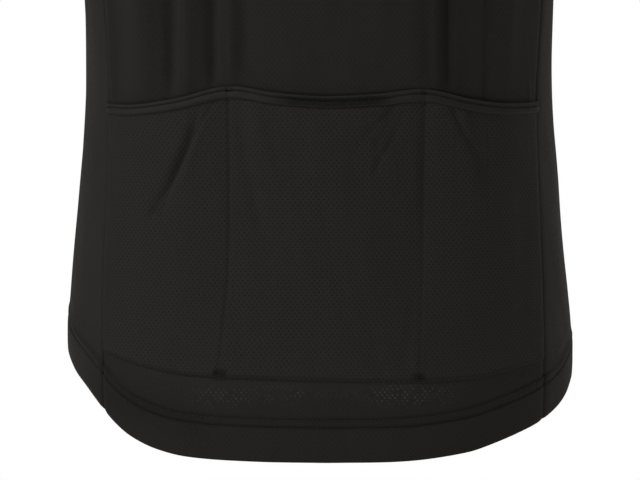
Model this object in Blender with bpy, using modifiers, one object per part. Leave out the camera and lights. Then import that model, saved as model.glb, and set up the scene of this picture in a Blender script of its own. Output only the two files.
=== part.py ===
"""Short-sleeved cycling jersey with three back pockets, hollow and filled out, with nobody in it.

Metres, +Z up. The zip faces -Y and the wearer's left is +X. The origin is the middle of the neck,
level with the highest point of the shoulder seams.

A place on the body of the jersey is an angle and a height. The angle runs round the body in degrees:
0 at the zip, 90 at the wearer's left side, 180 at the middle of the back, 270 at the right side.
"""
import math
from collections import namedtuple
from functools import lru_cache

import bmesh
import bpy
from mathutils import Matrix, Vector

# Cloth and seams.
CLOTH_WALL = 0.0012
SEAM_GAP = 0.0004
LAID_ON_GAP = 0.00045
EDGE_BAND = 0.0025

# Level sections of the body, from the neck down to the hem.
Section = namedtuple("Section", "height half_width front back squareness")
BODY_SECTIONS = [
    Section(-0.700, 0.1885, 0.124, 0.1245, 2.40),
    Section(-0.640, 0.1865, 0.123, 0.1200, 2.40),
    Section(-0.585, 0.1825, 0.120, 0.1155, 2.40),
    Section(-0.510, 0.1755, 0.115, 0.1115, 2.40),
    Section(-0.430, 0.1700, 0.112, 0.1100, 2.45),
    Section(-0.340, 0.1715, 0.116, 0.1100, 2.50),
    Section(-0.260, 0.1770, 0.120, 0.1105, 2.50),
    Section(-0.190, 0.1860, 0.116, 0.1090, 2.50),
    Section(-0.130, 0.1980, 0.101, 0.1030, 2.45),
    Section(-0.085, 0.1930, 0.086, 0.0940, 2.35),
    Section(-0.055, 0.1700, 0.074, 0.0840, 2.25),
    Section(-0.030, 0.1240, 0.063, 0.0710, 2.15),
    Section(-0.012, 0.0800, 0.055, 0.0590, 2.05),
    Section(0.000, 0.0520, 0.048, 0.0500, 2.00),
]

# Height of the hem round the body, on the left and on the right side.
HemPoint = namedtuple("HemPoint", "angle left right")
HEM = [
    HemPoint(0, -0.6400, -0.6400),
    HemPoint(40, -0.6310, -0.6340),
    HemPoint(65, -0.6220, -0.6310),
    HemPoint(90, -0.6180, -0.6345),
    HemPoint(100, -0.6275, -0.6430),
    HemPoint(105, -0.6350, -0.6500),
    HemPoint(110, -0.6435, -0.6580),
    HemPoint(114, -0.6525, -0.6635),
    HemPoint(119, -0.6650, -0.6692),
    HemPoint(124, -0.6750, -0.6740),
    HemPoint(130, -0.6823, -0.6795),
    HemPoint(138, -0.6872, -0.6855),
    HemPoint(154, -0.6898, -0.6903),
    HemPoint(180, -0.6910, -0.6910),
]

# Distance from the middle of the seams beside the side panels, behind and in front.
SeamPoint = namedtuple("SeamPoint", "height back_x front_x")
SIDE_SEAMS = [
    SeamPoint(-0.690, 0.158, 0.155),
    SeamPoint(-0.580, 0.157, 0.153),
    SeamPoint(-0.437, 0.153, 0.149),
    SeamPoint(-0.377, 0.157, 0.151),
    SeamPoint(-0.260, 0.165, 0.160),
    SeamPoint(-0.160, 0.173, 0.171),
]

# Neck and armholes.
NECK_HALF_WIDTH, NECK_FRONT_DEPTH, NECK_BACK_DEPTH = 0.0640, 0.0720, 0.0570
ARMHOLE_CENTRE, ARMHOLE_HALF_HEIGHT = -0.125, 0.067
ARMHOLE_FRONT_REACH, ARMHOLE_BACK_REACH = 27.0, 25.0
ARMHOLE_SIDE_TURN = 130.0

# Broad folds: the angle at the upper and lower end, the heights of those ends, half the width
# in degrees and how far the fold stands out. A negative depth is a hollow.
Fold = namedtuple("Fold", "top_angle top bottom_angle bottom half_angle out")
FOLDS = [
    Fold(121, -0.190, 121.6, -0.450, 5.0, 0.0020),
    Fold(131, -0.150, 129.3, -0.440, 5.0, -0.0030),
    Fold(141, -0.210, 140.6, -0.430, 4.5, -0.0025),
    Fold(226, -0.150, 219, -0.440, 5.5, -0.0030),
    Fold(240, -0.190, 237, -0.450, 5.0, 0.0020),
    Fold(38, -0.200, 47, -0.520, 7.0, -0.0030),
    Fold(324, -0.170, 314, -0.480, 7.0, -0.0030),
    Fold(24, -0.330, 28, -0.600, 5.0, 0.0020),
]

# Back pockets: seams between them, and their upper and lower edges, left to right.
DivisionPoint = namedtuple("DivisionPoint", "height left_x right_x")
DIVISIONS = [
    DivisionPoint(-0.630, 0.0775, -0.0650),
    DivisionPoint(-0.597, 0.0735, -0.0660),
    DivisionPoint(-0.545, 0.0690, -0.0675),
    DivisionPoint(-0.429, 0.0690, -0.0690),
]
PocketEdge = namedtuple("PocketEdge", "x height")
POCKET_TOP = [
    PocketEdge(-0.160, -0.4405),
    PocketEdge(-0.126, -0.4420),
    PocketEdge(-0.100, -0.4380),
    PocketEdge(-0.069, -0.4305),
    PocketEdge(-0.035, -0.4335),
    PocketEdge(0.003, -0.4350),
    PocketEdge(0.036, -0.4325),
    PocketEdge(0.069, -0.4280),
    PocketEdge(0.105, -0.4370),
    PocketEdge(0.136, -0.4415),
    PocketEdge(0.160, -0.4400),
]
POCKET_BOTTOM = [
    PocketEdge(-0.157, -0.6240),
    PocketEdge(-0.131, -0.6300),
    PocketEdge(-0.109, -0.6345),
    PocketEdge(-0.070, -0.6370),
    PocketEdge(0.000, -0.6355),
    PocketEdge(0.047, -0.6340),
    PocketEdge(0.100, -0.6315),
    PocketEdge(0.121, -0.6280),
    PocketEdge(0.141, -0.6230),
    PocketEdge(0.157, -0.6170),
]
POCKET_LIFT = 0.0082
POCKET_FULL_FROM = 0.40
BINDING_HEIGHT = 0.0076
BINDING_WALL = 0.0010
BINDING_TOP = 1.002

# Left sleeve, from the armhole to the cuff: the highest and lowest point of each ring, half its
# depth from front to back, and how far it has turned from the armhole's own shape into an oval.
SleeveRing = namedtuple("SleeveRing", "top_x top_z bottom_x bottom_z half_depth blend")
SLEEVE_RINGS = [
    SleeveRing(0.1720, -0.0580, 0.1860, -0.1920, 0.0770, 0.00),
    SleeveRing(0.1870, -0.0640, 0.1905, -0.1990, 0.0765, 0.45),
    SleeveRing(0.2140, -0.0810, 0.2030, -0.2160, 0.0740, 0.80),
    SleeveRing(0.2470, -0.1100, 0.2180, -0.2380, 0.0700, 1.00),
    SleeveRing(0.2770, -0.1460, 0.2320, -0.2590, 0.0650, 1.00),
    SleeveRing(0.3060, -0.1850, 0.2450, -0.2790, 0.0600, 1.00),
    SleeveRing(0.3360, -0.2270, 0.2580, -0.2980, 0.0550, 1.00),
]
SLEEVE_SEAM_GAP = 0.0006

# Stand-up collar.
COLLAR_BACK_HEIGHT, COLLAR_FRONT_HEIGHT = 0.045, 0.040
COLLAR_LEAN_IN, COLLAR_LEAN_FORWARD = 0.0035, 0.0050
COLLAR_SEAM_GAP = 0.0004
COLLAR_ROWS = 3

# Zip: cloth edges, tapes under them, slider near the top of the collar.
ZIP_EDGE = 0.0050
ZIP_KNEE = -0.175
TAPE_OUTER = 0.0130
TAPE_CLOSED, TAPE_PARTED = 0.00025, 0.0019
TAPE_WALL = 0.0010
TAPE_DEPTH = CLOTH_WALL + 0.0006
SLIDER_BELOW_TOP = 0.0115
SLIDER_HALF_WIDTH, SLIDER_LENGTH, PLATE_WALL = 0.0040, 0.0100, 0.0008
PLATE_GAP = 0.0004
POST_HALF_WIDTH, POST_LOW, POST_HIGH = 0.0014, 0.0012, 0.0045
ARCH_HALF_LENGTH, ARCH_RISE, ARCH_WIRE = 0.0032, 0.0036, 0.0006
TAB_HALF_WIDTH, TAB_LENGTH, TAB_WALL = 0.0035, 0.0215, 0.0015
TAB_BAR, TAB_WINDOW_HALF_WIDTH, TAB_WINDOW_LENGTH = 0.0015, 0.0016, 0.0050
TAB_AXIS_HEIGHT = 0.0013

# Rows along the edges that the panels share, and columns across them.
SEAM_ROWS, ARMHOLE_ROWS, SHOULDER_ROWS = 15, 6, 3
BACK_THIRD_COLUMNS, FRONT_COLUMNS, SIDE_COLUMNS = 8, 9, 4
BACK_WIDTH, FRONT_WIDTH, SIDE_WIDTH = 0.40, 0.19, 0.13
POCKET_ROWS = 9


def mix(first, second, share):
    return first + (second - first) * share


def smooth_step(share):
    share = min(max(share, 0.0), 1.0)
    return share * share * (3 - 2 * share)


def read_row(rows, key):
    """The row at a key, on a smooth curve through the rows of a table, whose first column is the key."""
    key = min(max(key, rows[0][0]), rows[-1][0])
    last = len(rows) - 1
    at = next(i for i in range(last) if key <= rows[i + 1][0])
    low, high = rows[at], rows[at + 1]
    before, after = rows[max(at - 1, 0)], rows[min(at + 2, last)]
    span = high[0] - low[0]
    t = (key - low[0]) / span
    values = [key]
    for column in range(1, len(low)):
        rise = (high[column] - before[column]) / (high[0] - before[0]) * span
        next_rise = (after[column] - low[column]) / (after[0] - low[0]) * span
        value = (2 * t**3 - 3 * t**2 + 1) * low[column] + (t**3 - 2 * t**2 + t) * rise
        value += (3 * t**2 - 2 * t**3) * high[column] + (t**3 - t**2) * next_rise
        values.append(value)
    return type(low)(*values)


# The body as a surface.


def plain_body_point(angle, height):
    section = read_row(BODY_SECTIONS, height)
    sine, cosine = math.sin(math.radians(angle)), math.cos(math.radians(angle))
    depth = section.front if cosine > 0 else section.back
    power = section.squareness
    radius = ((abs(sine) / section.half_width) ** power + (abs(cosine) / depth) ** power) ** (-1 / power)
    return Vector((radius * sine, -radius * cosine, height))


def body_normal(angle, height, turn=0.5, rise=0.0008):
    around = plain_body_point(angle + turn, height) - plain_body_point(angle - turn, height)
    upward = plain_body_point(angle, height + rise) - plain_body_point(angle, height - rise)
    return around.cross(upward).normalized()


def fold_depth(angle, height):
    depth = 0.0
    for fold in FOLDS:
        along = (fold.top - height) / (fold.top - fold.bottom)
        if not 0 < along < 1:
            continue
        away = abs(angle % 360 - mix(fold.top_angle, fold.bottom_angle, along)) / fold.half_angle
        if away < 1:
            depth += fold.out * math.cos(away * math.pi / 2) ** 2 * math.sin(along * math.pi)
    return depth


def body_point(angle, height, out=0.0):
    """A point of the cloth's outer face, moved out along the surface's normal."""
    return plain_body_point(angle, height) + body_normal(angle, height) * (fold_depth(angle, height) + out)


def angle_of_x(x, height, behind):
    """The angle at which the body is x from the middle, at a height."""
    section = read_row(BODY_SECTIONS, height)
    depth = section.back if behind else section.front
    share = min(abs(x) / section.half_width, 1.0)
    y = depth * (1 - share**section.squareness) ** (1 / section.squareness)
    return math.degrees(math.atan2(x, -y if behind else y)) % 360


def hem_height(angle):
    angle %= 360
    point = read_row(HEM, min(angle, 360 - angle))
    return point.left if angle <= 180 else point.right


@lru_cache(maxsize=None)
def neck_height(angle):
    """The height at which the body is as far out as the oval of the neck."""
    sine, cosine = math.sin(math.radians(angle)), math.cos(math.radians(angle))
    depth = NECK_FRONT_DEPTH if cosine > 0 else NECK_BACK_DEPTH
    radius = 1 / math.hypot(sine / NECK_HALF_WIDTH, cosine / depth)
    low, high = -0.080, 0.0
    for _ in range(24):
        middle = (low + high) / 2
        point = plain_body_point(angle, middle)
        if math.hypot(point.x, point.y) > radius:
            low = middle
        else:
            high = middle
    return high


def on_side(side, angle):
    return angle if side > 0 else 360 - angle


# Edges that panels share: lists of (angle, height), from the hem up.


def seam_edge(side, behind):
    """A side panel's seam, up to the armhole."""
    turn = ARMHOLE_SIDE_TURN if behind else -ARMHOLE_SIDE_TURN
    top_angle, top = armhole_place(side, turn)
    x = SIDE_SEAMS[0].back_x if behind else SIDE_SEAMS[0].front_x
    bottom = hem_height(angle_of_x(side * x, -0.640, behind))
    edge = []
    for row in range(SEAM_ROWS):
        height = mix(bottom, top, row / SEAM_ROWS)
        seam = read_row(SIDE_SEAMS, height)
        edge.append((angle_of_x(side * (seam.back_x if behind else seam.front_x), height, behind), height))
    return edge + [(top_angle, top)]


def armhole_place(side, turn):
    """A point of the armhole, turned from its top towards the back, or the front where negative."""
    sine = math.sin(math.radians(turn))
    reach = ARMHOLE_BACK_REACH if sine > 0 else ARMHOLE_FRONT_REACH
    height = ARMHOLE_CENTRE + ARMHOLE_HALF_HEIGHT * math.cos(math.radians(turn))
    return on_side(side, 90 + reach * sine), height


def outer_edge(side, behind):
    """The side of a front or of the back: seam, armhole, then shoulder seam up to the neck."""
    edge = seam_edge(side, behind)
    turn = ARMHOLE_SIDE_TURN if behind else -ARMHOLE_SIDE_TURN
    edge += [armhole_place(side, turn * (1 - row / ARMHOLE_ROWS)) for row in range(1, ARMHOLE_ROWS + 1)]
    top = edge[-1][1]
    for row in range(1, SHOULDER_ROWS + 1):
        edge.append((on_side(side, 90), mix(top, neck_height(90), row / SHOULDER_ROWS)))
    return edge


def zip_edge(side, x):
    """The line beside the zip at a distance from the middle, row for row with a front's outer edge."""
    upper_rows = ARMHOLE_ROWS + SHOULDER_ROWS
    bottom, knee = hem_height(0), ZIP_KNEE
    heights = [mix(bottom, knee, row / SEAM_ROWS) for row in range(SEAM_ROWS)]
    heights += [mix(knee, neck_height(0), row / upper_rows) for row in range(upper_rows + 1)]
    return [(angle_of_x(side * x, height, False), height) for height in heights]


def inset_edge(edge, distance):
    """An edge moved round the body, so that the next panel's edge has a gap to it."""
    moved = []
    for angle, height in edge:
        point = plain_body_point(angle, height)
        moved.append((angle + math.degrees(distance / math.hypot(point.x, point.y)), height))
    return moved


# Panels: the grid of points between four edges.


def panel_grid(left, right, lower, upper, shares):
    """Points of the cloth between two side edges and a lower and an upper line of (angle, height).

    shares gives, for a height, how far each column is from the left edge to the right one.
    """
    rows = len(left) - 1
    grid = []
    for row in range(rows + 1):
        up = row / rows
        line = []
        for share in shares(left[row][1]):
            place = []
            for axis in (0, 1):
                value = mix(left[row][axis], right[row][axis], share)
                value += (1 - up) * (lower(share)[axis] - mix(left[0][axis], right[0][axis], share))
                value += up * (upper(share)[axis] - mix(left[-1][axis], right[-1][axis], share))
                place.append(value)
            line.append(place)
        grid.append(line)
    return grid


def hem_line(left, right):
    def at(share):
        angle = mix(left[0][0], right[0][0], share)
        return angle, hem_height(angle)
    return at


def neck_line(left, right):
    def at(share):
        angle = mix(left[-1][0], right[-1][0], share)
        return angle, neck_height(angle)
    return at


def even_shares(columns, width):
    """Even columns with a narrow one along each side, so that the edges face squarely."""
    band = EDGE_BAND / width
    shares = [0.0, band] + [column / columns for column in range(1, columns)] + [1 - band, 1.0]
    return lambda height: shares


def division_shares(height):
    """Where the two pocket seams lie between the back panel's side edges."""
    at = min(max(height, DIVISIONS[0].height), DIVISIONS[-1].height)
    division = read_row(DIVISIONS, at)
    seam = read_row(SIDE_SEAMS, at)
    low = angle_of_x(seam.back_x, at, True)
    high = angle_of_x(-seam.back_x, at, True)
    return [(angle_of_x(x, at, True) - low) / (high - low) for x in (division.left_x, division.right_x)]


def back_shares(height):
    first, second = division_shares(height)
    stops = [0.0, first, second, 1.0]
    band = EDGE_BAND / BACK_WIDTH
    shares = [0.0, band]
    for third in range(3):
        start = 1 if third == 0 else 0
        end = BACK_THIRD_COLUMNS
        shares += [mix(stops[third], stops[third + 1], step / end) for step in range(start, end)]
    return shares + [1 - band, 1.0]


def body_cloth(places, out=0.0):
    return [[body_point(angle, height, out) for angle, height in line] for line in places]


def back_places():
    left = inset_edge(outer_edge(1, True), SEAM_GAP / 2)
    right = inset_edge(outer_edge(-1, True), -SEAM_GAP / 2)
    return panel_grid(left, right, hem_line(left, right), neck_line(left, right), back_shares)


def front_places(side):
    middle = zip_edge(side, ZIP_EDGE)
    outer = inset_edge(outer_edge(side, False), -side * SEAM_GAP / 2)
    left, right = (middle, outer) if side > 0 else (outer, middle)
    if side < 0:
        right = [(angle % 360, height) for angle, height in right]
    shares = even_shares(FRONT_COLUMNS, FRONT_WIDTH)
    return panel_grid(left, right, hem_line(left, right), neck_line(left, right), shares)


def side_places(side):
    front = inset_edge(seam_edge(side, False), side * SEAM_GAP / 2)
    back = inset_edge(seam_edge(side, True), -side * SEAM_GAP / 2)
    left, right = (front, back) if side > 0 else (back, front)

    def armhole_line(share):
        forward = 1 - share if side > 0 else share
        turn = mix(ARMHOLE_SIDE_TURN, 360 - ARMHOLE_SIDE_TURN, forward)
        edge = left[-1] if share == 0 else right[-1]
        return edge if share in (0.0, 1.0) else armhole_place(side, turn)

    return panel_grid(left, right, hem_line(left, right), armhole_line, even_shares(SIDE_COLUMNS, SIDE_WIDTH))


# Pockets.


def pocket_height(angle, up):
    """The height of a point of the pockets, from the bottom seam (0) to the mouth (1)."""
    top = read_row(POCKET_TOP, plain_body_point(angle, -0.43).x).height
    bottom = read_row(POCKET_BOTTOM, plain_body_point(angle, -0.63).x).height
    return mix(bottom, top, up)


def pocket_lift(share, stops, up):
    """How far the pockets stand off the back panel, inside the seams that divide them."""
    for low, high in zip(stops, stops[1:]):
        if low <= share <= high:
            across = (share - low) / (high - low)
            return POCKET_LIFT * math.sin(across * math.pi) ** 0.8 * smooth_step(up / POCKET_FULL_FROM)
    return 0.0


def pocket_point(column, up, out):
    """A point of the pockets' inner face, or of what lies on them, in one of the back's columns."""
    height = mix(POCKET_BOTTOM[4].height, POCKET_TOP[5].height, up)
    for _ in range(3):
        share = back_shares(height)[column]
        first, second = division_shares(height)
        seam = read_row(SIDE_SEAMS, height)
        low, high = (angle_of_x(x, height, True) for x in (seam.back_x, -seam.back_x))
        angle = mix(low, high, share)
        height = pocket_height(angle, up)
    lift = pocket_lift(share, [0.0, first, second, 1.0], up)
    return body_point(angle, height, LAID_ON_GAP + lift + out)


def pocket_grid(lowest, highest, rows, out):
    columns = len(back_shares(-0.5))
    return [
        [pocket_point(column, mix(lowest, highest, row / rows), out) for column in range(columns)]
        for row in range(rows + 1)
    ]


# Sleeves and collar.


def armhole_loop(side):
    """Outer points of the armhole, once round from its top over the front, as the panels have them."""
    front = outer_edge(side, False)
    back = outer_edge(side, True)
    top = SEAM_ROWS + ARMHOLE_ROWS
    down_front = [front[row] for row in range(top, SEAM_ROWS - 1, -1)]
    up_back = [back[row] for row in range(SEAM_ROWS, top)]
    under = [side_places(side)[-1][column] for column in range(2, SIDE_COLUMNS + 1)]
    if side < 0:
        under.reverse()
    return [body_point(*place) for place in down_front + under + up_back]


def sleeve_grid(side):
    """Rings from the armhole to the cuff. Each has the armhole's points, turned into an oval."""
    loop = armhole_loop(1)
    ahead = Vector((0, -1, 0))
    first = SLEEVE_RINGS[0]
    start = Vector((first.top_x + first.bottom_x, 0, first.top_z + first.bottom_z)) / 2
    turns = []
    for point in loop:
        away = point - start
        turns.append(math.atan2(away.dot(ahead) / first.half_depth, away.z / (first.top_z - start.z)))
    rings = []
    for ring in SLEEVE_RINGS:
        top, bottom = Vector((ring.top_x, 0, ring.top_z)), Vector((ring.bottom_x, 0, ring.bottom_z))
        centre, over = (top + bottom) / 2, (top - bottom) / 2
        line = []
        for point, turn in zip(loop, turns):
            oval = centre + over * math.cos(turn) + ahead * ring.half_depth * math.sin(turn)
            line.append(mix(point + centre - start, oval, ring.blend))
        rings.append(line)
    rings[0] = [low + (high - low).normalized() * SLEEVE_SEAM_GAP for low, high in zip(*rings[:2])]
    if side < 0:
        rings = [[Vector((-p.x, p.y, p.z)) for p in reversed(line)] for line in rings]
    return [[line[-1]] + line for line in rings]


def collar_point(angle, up, out=0.0):
    """A point of the collar: up is 0 at the neck seam and 1 at the collar's top."""
    base = plain_body_point(angle, neck_height(angle))
    behind = (1 - math.cos(math.radians(angle))) / 2
    rise = mix(COLLAR_FRONT_HEIGHT, COLLAR_BACK_HEIGHT, behind) - COLLAR_SEAM_GAP
    outward = Vector((base.x, base.y, 0)).normalized()
    lean = -outward * COLLAR_LEAN_IN + Vector((0, -COLLAR_LEAN_FORWARD * behind, 0))
    return base + Vector((0, 0, COLLAR_SEAM_GAP + rise * up)) + lean * up + outward * out


def collar_grid():
    angles = [angle for angle, height in front_places(1)[-1]][:-1] + [90.0]
    angles += [angle for angle, height in back_places()[-1]][1:-1] + [270.0]
    angles += [angle for angle, height in front_places(-1)[-1]][1:]
    rows = range(COLLAR_ROWS + 1)
    return [[collar_point(angle, row / COLLAR_ROWS) for angle in angles] for row in rows]


# Zip.


def slider_height():
    return neck_height(0) + COLLAR_FRONT_HEIGHT - SLIDER_BELOW_TOP


def tape_grid(side):
    """A tape under the cloth edge, from the hem to the collar's top, parted above the slider's post."""
    depth = -TAPE_DEPTH
    parting = slider_height() + POST_LOW
    neck, rise = neck_height(0), COLLAR_FRONT_HEIGHT
    collar_ups = [row / COLLAR_ROWS for row in range(COLLAR_ROWS + 1)]
    collar_ups += [(parting - below - neck) / rise for below in (0.0016, 0.0004)]
    collar_ups.sort()
    grid = []
    for _, height in zip_edge(side, ZIP_EDGE)[:-1]:
        xs = [TAPE_CLOSED, ZIP_EDGE, TAPE_OUTER]
        line = [body_point(angle_of_x(side * x, height, False), height, depth) for x in xs]
        grid.append([Vector((side * x, point.y, point.z)) for x, point in zip(xs, line)])
    for up in collar_ups:
        level = neck + rise * up
        inner = TAPE_PARTED if level > parting - 0.0010 else TAPE_CLOSED
        line = []
        for x in (inner, ZIP_EDGE, TAPE_OUTER):
            angle = angle_of_x(side * x, neck_height(0), False)
            point = collar_point(angle, up, depth)
            line.append(Vector((side * x, point.y, point.z)))
        grid.append(line)
    return grid if side > 0 else [line[::-1] for line in grid]


def zip_frame():
    """Where the slider sits: on the tapes' outer face, upright on the collar's front."""
    up = (slider_height() - neck_height(0)) / COLLAR_FRONT_HEIGHT
    depth = -TAPE_DEPTH
    here, above = collar_point(0, up, depth), collar_point(0, up + 0.05, depth)
    upward = (above - here).normalized()
    outward = Vector((0, -1, 0)) - upward * upward.dot(Vector((0, -1, 0)))
    outward.normalize()
    sideways = upward.cross(outward)
    turn = Matrix((sideways, outward, upward)).transposed().to_4x4()
    return Matrix.Translation(here) @ turn


# Blender objects.


def clear_scene():
    for old in list(bpy.data.objects):
        bpy.data.objects.remove(old, do_unlink=True)


def new_collection(name):
    collection = bpy.data.collections.new(name)
    bpy.context.scene.collection.children.link(collection)
    return collection


def new_material(name, colour, roughness, metallic=0.0):
    material = bpy.data.materials.new(name)
    material.use_nodes = True
    shader = material.node_tree.nodes["Principled BSDF"]
    shader.inputs["Base Color"].default_value = (*colour, 1.0)
    shader.inputs["Roughness"].default_value = roughness
    shader.inputs["Metallic"].default_value = metallic
    return material


def add_object(name, data, collection, material=None):
    thing = bpy.data.objects.new(name, data)
    collection.objects.link(thing)
    if material:
        data.materials.append(material)
    return thing


def add_sheet(name, grid, collection, material, wall=CLOTH_WALL, inward=True):
    """A cloth wall through a grid of points: rows upwards, columns to the left as seen from outside."""
    rows, columns = len(grid), len(grid[0])
    shape = bmesh.new()
    bmesh.ops.create_grid(shape, x_segments=columns - 1, y_segments=rows - 1, size=1)
    for vert in shape.verts:
        column = round((vert.co.x + 1) / 2 * (columns - 1))
        row = round((vert.co.y + 1) / 2 * (rows - 1))
        vert.co = grid[row][column]
    bmesh.ops.remove_doubles(shape, verts=shape.verts, dist=1e-6)
    mesh = bpy.data.meshes.new(name)
    shape.to_mesh(mesh)
    shape.free()
    mesh.shade_smooth()
    thing = add_object(name, mesh, collection, material)
    split = thing.modifiers.new("short_diagonals", "TRIANGULATE")
    split.quad_method = "SHORTEST_DIAGONAL"
    shell = thing.modifiers.new("wall", "SOLIDIFY")
    shell.thickness = wall
    shell.offset = -1 if inward else 1
    shell.use_even_offset = True
    return thing


def add_block(name, low, high, collection, material=None):
    shape = bmesh.new()
    bmesh.ops.create_cube(shape, size=1)
    size, centre = Vector(high) - Vector(low), (Vector(high) + Vector(low)) / 2
    stretch = Matrix.Translation(centre) @ Matrix.Diagonal((*size, 1))
    bmesh.ops.transform(shape, matrix=stretch, verts=shape.verts)
    mesh = bpy.data.meshes.new(name)
    shape.to_mesh(mesh)
    shape.free()
    return add_object(name, mesh, collection, material)


def as_tool(thing):
    thing.hide_render = True
    thing.display_type = "WIRE"
    return thing


def join_to(thing, tool):
    union = thing.modifiers.new("join " + tool.name, "BOOLEAN")
    union.operation = "UNION"
    union.object = tool


def arch_mesh():
    """The slider's arch: a bent wire whose feet go into the front plate."""
    foot = PLATE_GAP + PLATE_WALL / 2
    crown = PLATE_GAP + PLATE_WALL + ARCH_RISE
    bend = 0.0012
    points = [(-ARCH_HALF_LENGTH, foot)]
    for step in range(4):
        turn = math.radians(step * 30)
        points.append((-ARCH_HALF_LENGTH + bend * (1 - math.cos(turn)), crown - bend * (1 - math.sin(turn))))
    points += [(-along, out) for along, out in reversed(points)]
    curve = bpy.data.curves.new("arch_wire", "CURVE")
    curve.dimensions = "3D"
    curve.bevel_depth = ARCH_WIRE
    curve.bevel_resolution = 1
    curve.use_fill_caps = True
    spline = curve.splines.new("POLY")
    spline.points.add(len(points) - 1)
    for point, (along, out) in zip(spline.points, points):
        point.co = (0, out, along, 1)
    wire = bpy.data.objects.new("arch_wire", curve)
    bpy.context.scene.collection.objects.link(wire)
    evaluated = wire.evaluated_get(bpy.context.evaluated_depsgraph_get())
    mesh = bpy.data.meshes.new_from_object(evaluated)
    bpy.data.objects.remove(wire, do_unlink=True)
    shape = bmesh.new()
    shape.from_mesh(mesh)
    bmesh.ops.remove_doubles(shape, verts=shape.verts, dist=1e-6)
    bmesh.ops.recalc_face_normals(shape, faces=shape.faces)
    shape.to_mesh(mesh)
    shape.free()
    return mesh


def add_slider(place, collection, tools, material):
    """Front plate, back plate, the post that parts the tapes, and the arch that holds the tab."""
    half, length = SLIDER_HALF_WIDTH, SLIDER_LENGTH / 2
    front_face = PLATE_GAP + PLATE_WALL
    back_face = -(TAPE_WALL + PLATE_GAP)
    lower, upper = (-half, PLATE_GAP, -length), (half, front_face, length)
    slider = add_block("zip_slider", lower, upper, collection, material)
    back = add_block("back_plate", (-half, back_face - PLATE_WALL, -length), (half, back_face, length), tools)
    middle = PLATE_WALL / 2
    post_low = (-POST_HALF_WIDTH, back_face - middle, POST_LOW)
    post = add_block("post", post_low, (POST_HALF_WIDTH, PLATE_GAP + middle, POST_HIGH), tools)
    arch = add_object("arch", arch_mesh(), tools)
    for tool in (post, back, arch):
        join_to(slider, as_tool(tool))
        tool.matrix_world = place
    slider.matrix_world = place
    return slider


def add_pull_tab(place, collection, material):
    """A flat tab with a window: its upper bar passes under the arch, and lies on the hinge's axis."""
    curve = bpy.data.curves.new("zip_pull_tab", "CURVE")
    curve.dimensions = "2D"
    curve.fill_mode = "BOTH"
    curve.extrude = TAB_WALL / 2
    half, top, bottom = TAB_HALF_WIDTH, TAB_BAR / 2, TAB_BAR / 2 - TAB_LENGTH
    corner = 0.0008
    outline = [(-half + corner, top), (-half, top - corner)]
    for step in range(7):
        turn = math.radians(180 + step * 30)
        outline.append((half * math.cos(turn), bottom + half + half * math.sin(turn)))
    outline += [(half, top - corner), (half - corner, top)]
    wide, low = TAB_WINDOW_HALF_WIDTH, -TAB_BAR / 2 - TAB_WINDOW_LENGTH
    window = [(-wide, -TAB_BAR / 2), (wide, -TAB_BAR / 2), (wide, low), (-wide, low)]
    for ring in (outline, window):
        spline = curve.splines.new("POLY")
        spline.points.add(len(ring) - 1)
        spline.use_cyclic_u = True
        for point, (x, along) in zip(spline.points, ring):
            point.co = (x, along, 0, 1)
    tab = add_object("zip_pull_tab", curve, collection, material)
    axis_out = PLATE_GAP + PLATE_WALL + TAB_AXIS_HEIGHT
    upright = Matrix.Rotation(math.radians(90), 4, "X")
    tab.matrix_world = place @ Matrix.Translation((0, axis_out, 0)) @ upright
    return tab


def build_jersey():
    clear_scene()
    jersey, tools = new_collection("cycling_jersey"), new_collection("cutters")
    mesh_knit = new_material("mesh_knit", (0.014, 0.0135, 0.013), 0.85)
    smooth_knit = new_material("smooth_knit", (0.018, 0.017, 0.016), 0.6)
    elastic = new_material("elastic_binding", (0.013, 0.0125, 0.012), 0.8)
    tape = new_material("zip_tape", (0.012, 0.012, 0.012), 0.8)
    metal = new_material("zip_metal", (0.02, 0.02, 0.02), 0.4)

    add_sheet("back_panel", body_cloth(back_places()), jersey, mesh_knit)
    for side, word in ((1, "left"), (-1, "right")):
        add_sheet(word + "_front", body_cloth(front_places(side)), jersey, mesh_knit)
        add_sheet(word + "_side_panel", body_cloth(side_places(side)), jersey, smooth_knit)
        add_sheet(word + "_sleeve", sleeve_grid(side), jersey, smooth_knit)
        add_sheet("zip_tape_" + word, tape_grid(side), jersey, tape, TAPE_WALL)
    add_sheet("collar", collar_grid(), jersey, smooth_knit)
    add_sheet("pocket_panel", pocket_grid(0, 1, POCKET_ROWS, CLOTH_WALL), jersey, mesh_knit)
    pocket_depth = POCKET_TOP[5].height - POCKET_BOTTOM[4].height
    binding = pocket_grid(1 - BINDING_HEIGHT / pocket_depth, BINDING_TOP, 1, CLOTH_WALL + LAID_ON_GAP)
    add_sheet("pocket_binding", binding, jersey, elastic, BINDING_WALL, inward=False)
    place = zip_frame()
    add_slider(place, jersey, tools, metal)
    add_pull_tab(place, jersey, metal)


build_jersey()
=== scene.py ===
import math

import bmesh
import bpy
import numpy as np
from mathutils import Matrix, Vector


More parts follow.
